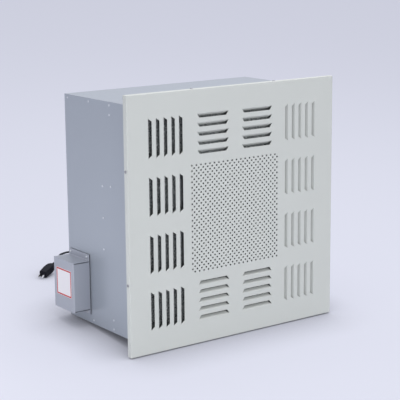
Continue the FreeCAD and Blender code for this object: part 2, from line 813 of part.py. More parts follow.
# Filter clips: four folded straps that hook over the filter's front rim and are screwed to the pressure
# box's rim, which pulls the filter on to its seal.
clips, clip_screws = [], []
side_gap = "filter_half + 0.5"
for side in range(4):
    strap = new_body(f"clip_{side}")
    drawn = sketch(strap, f"clip_{side}_profile", "XY_Plane", "0 - clip_width / 2")
    outline(
        drawn,
        [
            ("filter_half - clip_hook", "filter_front - clip_sheet"),
            (f"{side_gap} + clip_sheet", "filter_front - clip_sheet"),
            (f"{side_gap} + clip_sheet", "rim_front - clip_sheet"),
            (f"{side_gap} + clip_sheet + clip_foot", "rim_front - clip_sheet"),
            (f"{side_gap} + clip_sheet + clip_foot", "rim_front"),
            (side_gap, "rim_front"),
            (side_gap, "filter_front"),
            ("filter_half - clip_hook", "filter_front"),
        ],
    )
    extrude(strap, drawn, "clip_width")
    drawn = sketch(strap, f"clip_{side}_hole", "XZ_Plane", "0 - rim_front + clip_sheet")
    screw_opening(drawn, reach, "0", "clip_screw / 2 + screw_clearance")
    extrude(strap, drawn, "clip_sheet", "Pocket", towards_normal=False)
    strap.Placement = Placement(Vector(), Rotation(Vector(0, 1, 0), 90 * side))
    clips.append(strap)
    head = prism(f"clip_screw_head_{side}", "clip_screw_head / 2", "clip_screw_head_height", HEAD_SIDES)
    shank = prism(f"clip_screw_shank_{side}", "clip_screw / 2", "clip_screw_length", SCREW_SIDES)
    seat_y = value("rim_front - clip_sheet")
    place = Rotation(Vector(0, 1, 0), 90 * side).multVec(Vector(value(reach), seat_y, 0))
    head.Placement = Placement(place, Rotation(Vector(1, 0, 0), 90))
    shank.Placement = Placement(place, Rotation(Vector(1, 0, 0), -90))
    clip_screws.append(fuse(f"clip_screw_{side}", [head, shank]))
piece(group("clip_set", clips), "filter_clips")
piece(group("clip_screw_set", clip_screws), "clip_screws")

# Brackets: one folded sheet each side, from the side wall to the pressure box.
for label, x_text in (("plenum_bracket_left", "0 - "), ("plenum_bracket_right", "")):
    bracket = new_body(label)
    drawn = sketch(bracket, f"{label}_profile", "XY_Plane", "bracket_z - bracket_height / 2")
    profile = [
        ("wall_in", "bracket_back - bracket_foot"),
        ("wall_in", "bracket_back"),
        ("plenum_half", "bracket_back"),
        ("plenum_half", "bracket_back - bracket_toe"),
        ("plenum_half + bracket_sheet", "bracket_back - bracket_toe"),
        ("plenum_half + bracket_sheet", "bracket_back - bracket_sheet"),
        ("wall_in - bracket_sheet", "bracket_back - bracket_sheet"),
        ("wall_in - bracket_sheet", "bracket_back - bracket_foot"),
    ]
    outline(drawn, [(f"{x_text}({across})", up) for across, up in profile])
    extrude(bracket, drawn, "bracket_height")
    piece(bracket, label)

# Inlet ring: a spun bell mouth on the back of the pressure box, whose neck enters the wheel's eye.
bend_x = "eye_radius + ring_curve"
bend_y = "ring_back - ring_curve"
outer_bend = [(f"{bend_x} - ring_curve * cos({t})", f"{bend_y} + ring_curve * sin({t})") for t in (90, 45, 0)]
skin_bend = [
    (f"{bend_x} - (ring_curve - ring_sheet) * cos({t})", f"{bend_y} + (ring_curve - ring_sheet) * sin({t})")
    for t in (0, 45, 90)
]
bell = turned(
    "inlet_bell",
    outer_bend
    + [("eye_radius", f"{bend_y} - ring_neck"), ("eye_radius + ring_sheet", f"{bend_y} - ring_neck")]
    + skin_bend
    + [(f"{bend_x} + ring_flange", "ring_back - ring_sheet"), (f"{bend_x} + ring_flange", "ring_back")],
)
piece(bell, "inlet_ring")

# Fan wheel: a back plate pressed on the motor's can, backward-curved blades and a conical shroud.
backplate = turned(
    "wheel_backplate",
    [
        ("can_radius", "wheel_back"),
        ("wheel_radius", "wheel_back"),
        ("wheel_radius", "wheel_back + wheel_sheet"),
        ("can_radius", "wheel_back + wheel_sheet"),
    ],
)
piece(backplate, "wheel_backplate")
shroud_eye = "eye_radius + ring_sheet + eye_gap"
shroud_low = "wheel_back + wheel_sheet + wheel_width_out"
shroud = turned(
    "wheel_shroud",
    [
        (shroud_eye, f"{shroud_low} + shroud_rise"),
        ("wheel_radius", shroud_low),
        ("wheel_radius", f"{shroud_low} + wheel_sheet"),
        (shroud_eye, f"{shroud_low} + shroud_rise + wheel_sheet"),
    ],
)
piece(shroud, "wheel_shroud")


def wheel_blades():
    """Each blade is an arc of sheet that leans back from the hub to the rim, trimmed to the room
    between the back plate and the shroud, and inside the eye to below the inlet ring's neck."""
    root = value("blade_root")
    rim = value("wheel_radius") - 1
    bend = value("blade_radius")
    skin = value("blade_sheet")
    back = value("wheel_back + wheel_sheet")
    low = value(shroud_low)
    eye = value(shroud_eye)
    rise = value("shroud_rise")
    seat = value("blade_seat")
    slope = rise / (value("wheel_radius") - eye)
    under_neck = value("ring_back - ring_curve - ring_neck - eye_gap")
    room = [
        Vector(root, back + seat, 0),
        Vector(rim, back + seat, 0),
        Vector(rim, low + slope * (value("wheel_radius") - rim) - seat, 0),
        Vector(eye, low + rise - seat, 0),
        Vector(eye, under_neck, 0),
        Vector(root, under_neck, 0),
    ]
    room_solid = Part.Face(Part.makePolygon([*room, room[0]])).revolve(Vector(), Vector(0, 1, 0), 360)
    # The blade's arc crosses the root circle and the rim circle about a middle set off to one side.
    offset = math.sqrt(bend**2 + ((root + rim) / 2) ** 2 - bend * (root + rim) * math.cos(math.radians(65)))
    middle = Vector(offset * math.cos(math.radians(40)), 0, offset * math.sin(math.radians(40)))
    outer = Part.makeCylinder(bend + skin / 2, low + rise - back, Vector(middle.x, back, middle.z), Vector(0, 1, 0))
    inner = Part.makeCylinder(bend - skin / 2, low + rise - back, Vector(middle.x, back, middle.z), Vector(0, 1, 0))
    band = outer.cut(inner).common(room_solid)
    one = min(band.Solids, key=lambda solid: solid.CenterOfMass.x)
    count = int(value("blades"))
    made = []
    for i in range(count):
        copy = one.copy()
        copy.rotate(Vector(), Vector(0, 1, 0), 360 * i / count)
        made.append(copy)
    return Part.makeCompound(made)


piece(placed_shape("blade_set", wheel_blades()), "wheel_blades")

# Motor: an outer-rotor motor. The can turns with the wheel on a shaft that runs in two bearings in the
# stator, and the stator's flange is screwed to a plate across the pressure box.
can_front = "wheel_back - can_lead"
can_back = "wheel_back - can_lead + can_length"
rotor = turned(
    "motor_rotor",
    [
        ("can_radius - can_wall", can_front),
        ("can_radius", can_front),
        ("can_radius", can_back),
        ("shaft_radius", can_back),
        ("shaft_radius", f"{can_back} - can_wall"),
        ("can_radius - can_wall", f"{can_back} - can_wall"),
    ],
)
piece(rotor, "motor_rotor")
flange_back = "motor_face + stator_flange"
core_back = "motor_face + stator_flange + shaft_stub + core_length"
bore = "bearing_radius"
neck = "bearing_radius - 2.5"
stator = turned(
    "motor_stator",
    [
        (bore, "motor_face"),
        ("stator_flange_radius", "motor_face"),
        ("stator_flange_radius", flange_back),
        ("can_radius - can_wall - air_gap", flange_back),
        ("can_radius - can_wall - air_gap", core_back),
        (bore, core_back),
        (bore, f"{core_back} - bearing_inset - bearing_width"),
        (neck, f"{core_back} - bearing_inset - bearing_width"),
        (neck, "motor_face + bearing_inset + bearing_width"),
        (bore, "motor_face + bearing_inset + bearing_width"),
    ],
)
piece(stator, "motor_stator")
shaft = turned(
    "motor_shaft",
    [("0", "motor_face + 1"), ("shaft_radius", "motor_face + 1"), ("shaft_radius", can_back), ("0", can_back)],
)
piece(shaft, "motor_shaft")
bearing_pair = []
for place, start in (("front", "motor_face + bearing_inset"), ("rear", f"{core_back} - bearing_inset - bearing_width")):
    bearing_pair.append(
        turned(
            f"bearing_{place}",
            [
                ("shaft_radius + shaft_clearance", start),
                ("bearing_radius", start),
                ("bearing_radius", f"{start} + bearing_width"),
                ("shaft_radius + shaft_clearance", f"{start} + bearing_width"),
            ],
        )
    )
piece(group("bearing_set", bearing_pair), "motor_bearings")

motor_plate = new_body("motor_plate_body")
drawn = sketch(motor_plate, "motor_plate_profile", "XY_Plane", "0 - motor_plate_width / 2")
fold_front = "motor_face - motor_plate_fold"
outline(
    drawn,
    [
        ("0 - plenum_in", fold_front),
        ("0 - plenum_in + motor_plate", fold_front),
        ("0 - plenum_in + motor_plate", "motor_face - motor_plate"),
        ("plenum_in - motor_plate", "motor_face - motor_plate"),
        ("plenum_in - motor_plate", fold_front),
        ("plenum_in", fold_front),
        ("plenum_in", "motor_face"),
        ("0 - plenum_in", "motor_face"),
    ],
)
extrude(motor_plate, drawn, "motor_plate_width")
drawn = sketch(motor_plate, "motor_plate_hole", "XZ_Plane", "0 - motor_face")
circle(drawn, "0", "0", "bearing_radius + 3")
extrude(motor_plate, drawn, "motor_plate", "Pocket")
piece(motor_plate, "motor_plate")

# Control box: a channel with a screwed-down back plate, on a foam pad on the left wall, and a cover that
# wraps its front, face and rear.
pad = block(
    "pad_block",
    "box_plate",
    "0 - wall_out",
    "box_front + box_pad_inset",
    "box_back - box_pad_inset",
    "box_low - box_tab_low + box_pad_inset",
    "box_high + box_tab_top - box_pad_inset",
)
pad_hole = doc.addObject("Part::Cylinder", "pad_hole")
pad_hole.setExpression("Radius", sized("grommet_hole / 2 + grommet_lip"))
pad_hole.setExpression("Height", sized("2 * box_pad"))
pad_hole.Placement = Placement(
    Vector(value("box_plate - box_pad / 2"), value("grommet_y"), value("grommet_z")),
    Rotation(Vector(0, 1, 0), 90),
)
piece(cut("pad_cut", pad, pad_hole), "box_gasket")

box_base = new_body("control_box_base")
drawn = sketch(box_base, "box_plate_outline", "YZ_Plane", "box_plate")
rectangle(drawn, "box_front", "box_back", "box_low - box_tab_low", "box_high + box_tab_top")
extrude(box_base, drawn, "box_sheet", towards_normal=False)
drawn = sketch(box_base, "box_shelves", "YZ_Plane", "box_plate")
shelf_in = "box_sheet"
for low, high in (("box_low", "box_low + box_sheet"), ("box_high - box_sheet", "box_high")):
    rectangle(drawn, f"box_front + {shelf_in}", f"box_back - ({shelf_in})", low, high)
extrude(box_base, drawn, f"box_plate - box_face - ({shelf_in})", towards_normal=False)
drawn = sketch(box_base, "box_plate_hole", "YZ_Plane", "box_plate")
circle(drawn, "grommet_y", "grommet_z", "grommet_bore / 2")
extrude(box_base, drawn, "box_sheet", "Pocket", towards_normal=False)
piece(box_base, "control_box_base")

cover = new_body("control_box_cover")
drawn = sketch(cover, "cover_profile", "XY_Plane", "box_low - box_cover_over")
cover_in = "box_plate - box_sheet"
outline(
    drawn,
    [
        (cover_in, "box_front"),
        ("box_face", "box_front"),
        ("box_face", "box_back"),
        (cover_in, "box_back"),
        (cover_in, "box_back - box_sheet"),
        ("box_face + box_sheet", "box_back - box_sheet"),
        ("box_face + box_sheet", "box_front + box_sheet"),
        (cover_in, "box_front + box_sheet"),
    ],
)
extrude(cover, drawn, "box_tall + 2 * box_cover_over")
piece(cover, "control_box_cover")

tab_screws = []
plate_face = value("box_plate - box_sheet")
for name, y_text, z_text in (
    ("top_front", "box_front + tab_screw_side", "box_high + tab_screw_in_top"),
    ("top_back", "box_back - tab_screw_side + 5", "box_high + tab_screw_in_top"),
    ("low_front", "box_front + tab_screw_side", "box_low - tab_screw_in_low"),
    ("low_back", "box_back - tab_screw_side + 5", "box_low - tab_screw_in_low"),
):
    head = prism(f"tab_screw_{name}", "tab_screw_head / 2", "tab_screw_height", HEAD_SIDES)
    head.Placement = Placement(Vector(plate_face, value(y_text), value(z_text)), Rotation(Vector(0, 1, 0), -90))
    tab_screws.append(head)
piece(group("tab_screw_set", tab_screws), "box_screws")

# Inside the control box: a grommet through the casing wall, a terminal block and the motor's capacitor.
grommet = doc.addObject("Part::Cylinder", "grommet_round")
grommet.setExpression("Radius", sized("grommet_hole / 2"))
grommet.setExpression("Height", sized("casing_sheet + box_pad"))
grommet_flange = doc.addObject("Part::Cylinder", "grommet_flange")
grommet_flange.setExpression("Radius", sized("grommet_hole / 2 + grommet_lip - 0.3"))
grommet_flange.setExpression("Height", sized("box_pad"))
grommet_bore = doc.addObject("Part::Cylinder", "grommet_bore_round")
grommet_bore.setExpression("Radius", sized("grommet_bore / 2"))
grommet_bore.setExpression("Height", sized("casing_sheet + box_pad"))
for item in (grommet, grommet_flange, grommet_bore):
    item.Placement = Placement(
        Vector(value("box_plate"), value("grommet_y"), value("grommet_z")), Rotation(Vector(0, 1, 0), 90)
    )
piece(cut("grommet_cut", fuse("grommet_whole", [grommet, grommet_flange]), grommet_bore), "wall_grommet")

terminal_floor = "box_plate - box_sheet"
terminal_low = "box_high - 45"
terminal_base = block(
    "terminal_base", f"{terminal_floor} - 16", terminal_floor, "box_front + 22", "box_front + 78",
    terminal_low, f"{terminal_low} + 22",
)
slots = [
    block(
        f"terminal_slot_{i}", f"{terminal_floor} - 16", f"{terminal_floor} - 8",
        f"box_front + 25 + {i * 10}", f"box_front + 31 + {i * 10}", f"{terminal_low} + 4", f"{terminal_low} + 18",
    )
    for i in range(5)
]
piece(cut("terminal_cut", terminal_base, group("terminal_slots", slots)), "terminal_block")

capacitor = doc.addObject("Part::Cylinder", "capacitor_can")
capacitor.setExpression("Radius", sized("capacitor_radius"))
capacitor.setExpression("Height", sized("capacitor_length"))
capacitor.Placement = Placement(
    Vector(value(f"{terminal_floor} - capacitor_radius"), value("box_front + 28"), value("box_low + box_sheet")),
    Rotation(),
)
piece(capacitor, "capacitor")

# Cable gland: a nut and a domed cap on the control box's rear, with a tapered rubber sleeve.
nut = prism("gland_hexagon", "gland_nut / 2 / cos(30)", "gland_nut_height", 6)
dome = doc.addObject("Part::Cone", "gland_cap")
dome.setExpression("Radius1", sized("gland_dome"))
dome.setExpression("Radius2", sized("relief_radius_in"))
dome.setExpression("Height", sized("gland_dome_height"))
CORD_SIDES = 10
sleeve_ends = [
    round_ring(value("relief_radius_in"), CORD_SIDES),
    round_ring(value("relief_radius_out"), CORD_SIDES, value("relief_length")),
]
sleeve = placed_shape("relief_sleeve", solid_through(sleeve_ends))
rearward = Rotation(Vector(1, 0, 0), -90)
for item, y_text in (
    (nut, "box_back"),
    (dome, "box_back + gland_nut_height"),
    (sleeve, "box_back + gland_nut_height + gland_dome_height"),
):
    item.Placement = Placement(Vector(value("gland_x"), value(y_text), value("gland_z")), rearward)
piece(fuse("gland_whole", [nut, dome]), "cable_gland")
piece(sleeve, "cord_sleeve")

# Power cord: black rubber cord, 1.5 m. The unit leans back when it stands on the floor, on the lower
# panel screws' heads and the casing's rear bottom edge, so the floor is the sloping plane through those.
LEAN = math.atan2(value("rest_z - wall_out"), value("casing_depth - rest_y"))
EXIT_Y = value("box_back + gland_nut_height + gland_dome_height + relief_length")


def floor_at(y):
    return -value("rest_z") + (y - value("rest_y")) * math.tan(LEAN)


def on_floor(x, y, lift=0.2):
    """A point of the cord's middle line, resting on the floor or lifted above it."""
    return Vector(x, y, floor_at(y) + (value("cord_radius") + lift) / math.cos(LEAN))


def cord_tube(points, name):
    """A round tube along straight runs joined by tangent arcs as large as the runs allow."""
    radius = value("cord_radius")
    edges, start, radii = [], points[0], []
    for before, corner, after in zip(points, points[1:], points[2:]):
        back, ahead = before - corner, after - corner
        shorter = min(back.Length, ahead.Length)
        half_turn = (math.pi - back.getAngle(ahead)) / 2
        setback = 0.45 * shorter
        radii.append(setback / math.tan(half_turn))
        first = corner + back.normalize() * setback
        last = corner + ahead.normalize() * setback
        inward = (back + ahead).normalize()
        drop = radii[-1] / math.cos(half_turn) - radii[-1]
        edges.append(Part.LineSegment(start, first).toShape())
        edges.append(Part.Arc(first, corner + inward * drop, last).toShape())
        start = last
    edges.append(Part.LineSegment(start, points[-1]).toShape())
    path = Part.Wire(edges)
    seat = Placement(points[0], Rotation(Vector(0, 0, 1), points[1] - points[0]))
    ring = [seat.multVec(point) for point in round_ring(radius, CORD_SIDES)]
    tube = path.makePipeShell([Part.makePolygon([*ring, ring[0]])], True, False)
    expected = CORD_SIDES / 2 * radius**2 * math.sin(2 * math.pi / CORD_SIDES) * path.Length
    print(f"{name}: {path.Length:.1f} mm, tightest {min(radii):.1f} mm, volume {tube.Volume / expected:.4f}")
    return tube


coil_middle = Vector(value("coil_x"), value("coil_y"), 0)
coil_radius = value("coil_radius")
LEAVE = math.radians(-24)
coil_in = on_floor(coil_middle.x, coil_middle.y - coil_radius, value("coil_lift"))
coil_out = on_floor(
    coil_middle.x + coil_radius * math.cos(LEAVE), coil_middle.y + coil_radius * math.sin(LEAVE), value("coil_lift")
)
plug_tail = on_floor(-164.5, 642.4, value("plug_tail_lift"))
plug_nose = on_floor(-229.2, 608, value("plug_thick / 2 - cord_radius"))
plug_line = (plug_nose - plug_tail).normalize()
LEAD_POINTS = [
    Vector(value("gland_x"), EXIT_Y, value("gland_z")),
    Vector(-312, 389, -201),
    Vector(-287, 417, -214),
    Vector(-248, 436, -239),
    Vector(-205, 444, -267),
    on_floor(-163, 442, 2),
    on_floor(-127, 447, 0.5),
    coil_in,
]
PLUG_POINTS = [
    coil_out,
    on_floor(-36, 519),
    on_floor(-12, 575),
    on_floor(10, 628),
    on_floor(24, 678),
    on_floor(24, 722),
    on_floor(2, 752),
    on_floor(-32, 756, 2),
    on_floor(-68, 737, 12),
    on_floor(-100, 710, 21),
    on_floor(-130, 685, 27),
    plug_tail - plug_line * 22,
    plug_tail,
]
piece(placed_shape("lead_tube", cord_tube(LEAD_POINTS, "power_cord_lead")), "power_cord_lead")
piece(placed_shape("plug_tube", cord_tube(PLUG_POINTS, "power_cord_end")), "power_cord_end")


COIL_SIDES = 32


def coil_solid():
    """The outer shape of the put-away turns: a ring two cords wide and two high, in short straight
    lengths, lying on the floor."""
    cord = value("cord_radius")
    inner = coil_radius - 2 * cord
    outer = coil_radius + 2 * cord
    corner = cord * 0.6
    profile = [
        (inner, 0),
        (outer, 0),
        (outer, 4 * cord - corner),
        (outer - corner, 4 * cord),
        (inner + corner, 4 * cord),
        (inner, 4 * cord - corner),
    ]
    rings = []
    for side in range(COIL_SIDES):
        turn = 2 * math.pi * side / COIL_SIDES
        rings.append([Vector(r * math.cos(turn), r * math.sin(turn), up) for r, up in profile])
    return solid_through(rings, closed=True)


coil_seat = Vector(
    coil_middle.x, coil_middle.y, floor_at(coil_middle.y) + value("coil_lift") / math.cos(LEAN)
)
on_slope = Placement(coil_seat, Rotation(Vector(1, 0, 0), math.degrees(LEAN)))
coil = placed_shape("coil_ring", coil_solid())
coil.Placement = on_slope
piece(coil, "power_cord_coil")


def tie_strap():
    """A flat strap round the coil's section."""
    cord = value("cord_radius")
    gap, thick, width = value("tie_gap"), value("tie_thick"), value("tie_width")
    low, high = coil_radius - 2 * cord - gap, coil_radius + 2 * cord + gap
    outer = Part.makeBox(
        high - low + 2 * thick, width, 4 * cord + gap + 2 * thick, Vector(low - thick, -width / 2, -thick)
    )
    inner = Part.makeBox(high - low, width, 4 * cord + gap, Vector(low, -width / 2, 0))
    return outer.cut(inner)


TIE_TURN = 110
tie = placed_shape("tie_loop", tie_strap())
tie.Placement = on_slope.multiply(Placement(Vector(), Rotation(Vector(0, 0, 1), TIE_TURN)))
piece(tie, "cord_tie")

# Plug: a moulded straight plug whose nose lies on the floor while the cord holds up its tail, with a
# ribbed sleeve and two flat blades.
def plug_section(along, width, thick):
    """An eight-sided section of the plug, square to its length."""
    w, t, c = width / 2, thick / 2, min(width, thick) * 0.22
    ring = [(w, c - t), (w, t - c), (w - c, t), (c - w, t), (-w, t - c), (-w, c - t), (c - w, -t), (w - c, -t)]
    return [Vector(along, y, z) for y, z in ring]


def plug_body():
    relief, length = value("plug_relief_length"), value("plug_length")
    width, thick, nose = value("plug_width"), value("plug_thick"), value("plug_nose_width")
    neck, cord = value("plug_relief_width"), value("cord_radius")
    stations = [
        (0, 2.4 * cord, 2.4 * cord),
        (relief, neck, neck),
        (relief + length * 0.06, neck * 1.35, neck * 1.3),
        (relief + length * 0.3, width * 0.9, thick * 0.92),
        (relief + length * 0.55, width, thick),
        (relief + length * 0.8, nose * 1.06, thick),
        (relief + length, nose, thick),
    ]
    return solid_through([plug_section(*station) for station in stations])


FLOOR_NORMAL = Vector(0, -math.sin(LEAN), math.cos(LEAN))
plug_seat = Placement(plug_tail, Rotation(plug_line, Vector(), FLOOR_NORMAL, "XZY"))
plug = placed_shape("plug_moulding", plug_body())
plug.Placement = plug_seat
piece(plug, "plug_body")
pins = []
for sign in (-1, 1):
    corner = Vector(
        value("plug_relief_length + plug_length"),
        sign * value("pin_spread / 2") - value("pin_thick / 2"),
        -value("pin_width / 2"),
    )
    pins.append(Part.makeBox(value("pin_length"), value("pin_thick"), value("pin_width"), corner))
pin_pair = placed_shape("pin_pair", Part.makeCompound(pins))
pin_pair.Placement = plug_seat
piece(pin_pair, "plug_pins")

doc.recompute()
for item in doc.Objects:
    if {"Invalid", "Error"} & set(item.State):
        raise RuntimeError(f"{item.Name} failed: {item.State}")
for item, label in PIECES:
    shape = item.Shape
    if shape.isNull() or not shape.isValid() or not shape.Solids:
        raise RuntimeError(f"{label} has no valid solid")
    shape.exportStep(f"parts/{label}.step")
print(len(PIECES), "pieces written")
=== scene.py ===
import math

import bpy
import numpy as np
from mathutils import Matrix, Vector
from mathutils.geometry import delaunay_2d_cdt


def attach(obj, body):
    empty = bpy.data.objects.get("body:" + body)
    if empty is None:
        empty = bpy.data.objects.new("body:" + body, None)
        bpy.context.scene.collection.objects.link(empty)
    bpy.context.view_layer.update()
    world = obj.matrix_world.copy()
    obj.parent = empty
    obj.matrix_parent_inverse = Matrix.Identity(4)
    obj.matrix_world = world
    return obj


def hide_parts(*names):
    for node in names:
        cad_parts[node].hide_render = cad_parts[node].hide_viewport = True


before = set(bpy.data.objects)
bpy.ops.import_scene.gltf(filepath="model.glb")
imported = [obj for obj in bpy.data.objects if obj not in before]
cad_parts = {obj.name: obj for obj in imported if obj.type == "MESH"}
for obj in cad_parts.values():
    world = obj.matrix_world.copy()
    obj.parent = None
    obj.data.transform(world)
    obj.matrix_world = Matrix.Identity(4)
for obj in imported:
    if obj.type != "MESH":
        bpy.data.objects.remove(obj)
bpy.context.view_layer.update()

# Camera: left of the panel and above its middle, looking down along the casing's left wall through a
# long lens, so that the upright edges stay nearly parallel.
camera_data = bpy.data.cameras.new("view")
camera_data.sensor_width = 36
camera_data.lens = 116.79
camera = bpy.data.objects.new("view", camera_data)
bpy.context.scene.collection.objects.link(camera)
sight = Matrix(
    (
        (0.80856851, 0.12778406, -0.57435894),
        (-0.58833564, 0.16091354, -0.79244433),
        (-0.00883962, 0.97866137, 0.20528954),
    )
)
camera.matrix_world = Matrix.Translation((-2.0017, -2.6199, 0.7217)) @ sight.to_4x4()
bpy.context.scene.camera = camera


def seen_group():
    """Gives the high value to rays from the camera, or by way of metal or glass, and else the low one."""
    group = bpy.data.node_groups.new("seen", "ShaderNodeTree")
    group.interface.new_socket("Low", in_out="INPUT", socket_type="NodeSocketFloat")
    group.interface.new_socket("High", in_out="INPUT", socket_type="NodeSocketFloat")
    group.interface.new_socket("Value", in_out="OUTPUT", socket_type="NodeSocketFloat")
    nodes, links = group.nodes, group.links
    entry = nodes.new("NodeGroupInput")
    leave = nodes.new("NodeGroupOutput")
    rays = nodes.new("ShaderNodeLightPath")
    direct = nodes.new("ShaderNodeMath")
    direct.operation = "MAXIMUM"
    either = nodes.new("ShaderNodeMath")
    either.operation = "MAXIMUM"
    chosen = nodes.new("ShaderNodeMix")
    links.new(rays.outputs["Is Camera Ray"], direct.inputs[0])
    links.new(rays.outputs["Is Glossy Ray"], direct.inputs[1])
    links.new(direct.outputs[0], either.inputs[0])
    links.new(rays.outputs["Is Transmission Ray"], either.inputs[1])
    links.new(either.outputs[0], chosen.inputs["Factor"])
    links.new(entry.outputs["Low"], chosen.inputs["A"])
    links.new(entry.outputs["High"], chosen.inputs["B"])
    links.new(chosen.outputs["Result"], leave.inputs["Value"])
    return group


# Floor: a plain pale plane with a soft shadow. The unit leans back on it, on the heads of the lower panel
# screws and on the casing's rear bottom edge, so in the unit's own frame the floor rises towards the back.
# Where the camera, metal or glass sees it, its own pale glow evens it out without more light on the unit.
# The shadow is partly cast by the lamps and partly painted: the glow is darkened by ambient occlusion
# near the unit.
foot_back, foot_low = -0.0037, -0.3324
floor_run, floor_rise = 0.3327, 0.0324
floor_reach = 20
lean = math.atan2(floor_rise, floor_run)


def floor_at(y):
    """Height of the floor plane: the screw heads' lowest point plus the slope times the way back."""
    return foot_low + (y - foot_back) * math.tan(lean)


floor_mesh = bpy.data.meshes.new("floor")
floor_signs = ((-1, -1), (1, -1), (1, 1), (-1, 1))
floor_corners = [(x * floor_reach, y * floor_reach, floor_at(y * floor_reach)) for x, y in floor_signs]
floor_mesh.from_pydata(floor_corners, [], [(0, 1, 2, 3)])
floor = bpy.data.objects.new("floor", floor_mesh)
bpy.context.scene.collection.objects.link(floor)
floor_paint = bpy.data.materials.new("floor_paint")
floor_paint.use_nodes = True
nodes, links = floor_paint.node_tree.nodes, floor_paint.node_tree.links
floor_shader = nodes["Principled BSDF"]
floor_shader.inputs["Base Color"].default_value = (0.74, 0.75, 0.82, 1)
floor_shader.inputs["Roughness"].default_value = 0.9
floor_shader.inputs["Specular IOR Level"].default_value = 0.1
glow = nodes.new("ShaderNodeEmission")
# Painted contact shadow: the glow's colour is scaled by ambient occlusion, so the glowing floor darkens next
# to the unit.
near = nodes.new("ShaderNodeAmbientOcclusion")
near.samples = 8
near.inputs["Distance"].default_value = 0.15
near.inputs["Color"].default_value = (0.725, 0.740, 0.860, 1)
links.new(near.outputs["Color"], glow.inputs["Color"])
seen_rays = seen_group()
seen = nodes.new("ShaderNodeGroup")
seen.node_tree = seen_rays
seen.inputs["Low"].default_value = 0.0
seen.inputs["High"].default_value = 0.68
evened = nodes.new("ShaderNodeMixShader")
links.new(seen.outputs["Value"], evened.inputs["Fac"])
links.new(floor_shader.outputs["BSDF"], evened.inputs[1])
links.new(glow.outputs["Emission"], evened.inputs[2])
links.new(evened.outputs["Shader"], nodes["Material Output"].inputs["Surface"])
floor_mesh.materials.append(floor_paint)

# Studio light: a large soft lamp overhead, one in front and a little to the left, a weak one low on the
# left, and an even room.
studio = bpy.data.worlds.new("studio")
studio.use_nodes = True
room = studio.node_tree.nodes["Background"]
room.inputs["Color"].default_value = (0.86, 0.88, 0.97, 1)
seen = studio.node_tree.nodes.new("ShaderNodeGroup")
seen.node_tree = seen_rays
seen.inputs["Low"].default_value = 0.52
seen.inputs["High"].default_value = 0.82
studio.node_tree.links.new(seen.outputs["Value"], room.inputs["Strength"])
bpy.context.scene.world = studio
bpy.context.scene.view_settings.view_transform = "Standard"


def soft_lamp(name, place, aim, side, power):
    """A square lamp that faces the point it is aimed at."""
    lamp_data = bpy.data.lights.new(name, "AREA")
    lamp_data.size = side
    lamp_data.energy = power
    lamp = bpy.data.objects.new(name, lamp_data)
    lamp.location = place
    lamp.rotation_euler = (Vector(aim) - Vector(place)).to_track_quat("-Z", "Y").to_euler()
    bpy.context.scene.collection.objects.link(lamp)


soft_lamp("overhead", (0.3, 0.0, 3.0), (0, 0.1, 0), 3.0, 80)
soft_lamp("front", (-0.7, -3.4, 0.3), (0, 0, -0.05), 2.0, 38)
soft_lamp("left", (-1.15, 0.10, -0.20), (-0.3, 0.15, -0.20), 0.7, 3.1)

# Power cord: black rubber-sheathed cord, 6 mm thick and about 1.5 m long. It leaves the sleeve at the rear
# of the control box, drops to the floor behind the casing, has its spare length in a neat coil there, and
# runs on in a loose bow to the plug beside the control box, whose tail it holds up off the floor.
cord_thick = 0.006
coil_middle = Vector((-0.090, 0.485, 0))
coil_lift = 0.001
coil_turns = 3.0 + 66 / 360
coil_steps = 24
outer_radius, inner_step, upper_step = 0.0390, 0.0060, 0.0030
upper_lift = 0.0054
curve_inside = 0.9914


def on_floor(x, y, height):
    """A point at that height square to the floor."""
    return Vector((x, y, floor_at(y) + height / math.cos(lean)))


def coil_points():
    """Turns round the coil's middle: one outer and one inner turn on the floor, then one in the groove
    on top. The radius and the height each change smoothly in the last part of the turn below. The
    points stand a little further out than the turns, because the curve runs inside its points."""
    steps = np.arange(0, coil_turns + 1e-6, 1 / coil_steps)
    inward = np.clip((steps - 0.89) / 0.11, 0, 1)
    upward = np.clip((steps - 1.84) / 0.16, 0, 1)
    ease_in, ease_up = (part * part * (3 - 2 * part) for part in (inward, upward))
    radius = (outer_radius - inner_step * ease_in + upper_step * ease_up) / curve_inside
    height = cord_thick / 2 + upper_lift * ease_up
    turn = 2 * math.pi * steps - math.pi / 2
    across = coil_middle.x + radius * np.cos(turn)
    along = coil_middle.y + radius * np.sin(turn)
    return [on_floor(x, y, coil_lift + h) for x, y, h in zip(across, along, height)]


plug_tail = on_floor(-0.1645, 0.6424, 0.0274)
plug_nose = on_floor(-0.2292, 0.6080, 0.0110)
plug_line = (plug_nose - plug_tail).normalized()
lie = cord_thick / 2 + 0.0002
route = [
    Vector((-0.314, 0.350, -0.200)),
    Vector((-0.3135, 0.370, -0.200)),
    Vector((-0.312, 0.389, -0.201)),
    Vector((-0.287, 0.417, -0.214)),
    Vector((-0.248, 0.436, -0.239)),
    Vector((-0.205, 0.444, -0.267)),
    on_floor(-0.163, 0.442, lie + 0.002),
    on_floor(-0.127, 0.4445, lie + 0.001),
    *coil_points(),
    on_floor(-0.0465, 0.4920, lie + 0.0065),
    on_floor(-0.036, 0.519, lie + 0.002),
    on_floor(-0.012, 0.575, lie),
    on_floor(0.010, 0.628, lie),
    on_floor(0.024, 0.678, lie),
    on_floor(0.024, 0.722, lie),
    on_floor(0.002, 0.752, lie),
    on_floor(-0.032, 0.756, lie + 0.002),
    on_floor(-0.068, 0.737, lie + 0.012),
    on_floor(-0.100, 0.710, lie + 0.021),
    on_floor(-0.130, 0.685, lie + 0.027),
    plug_tail - 0.022 * plug_line,
    plug_tail + 0.006 * plug_line,
]
cord_curve = bpy.data.curves.new("power_cord", "CURVE")
cord_curve.dimensions = "3D"
cord_curve.bevel_depth = cord_thick / 2
cord_curve.bevel_resolution = 4
cord_curve.resolution_u = 6
cord_curve.use_fill_caps = True
line = cord_curve.splines.new("NURBS")
line.points.add(len(route) - 1)
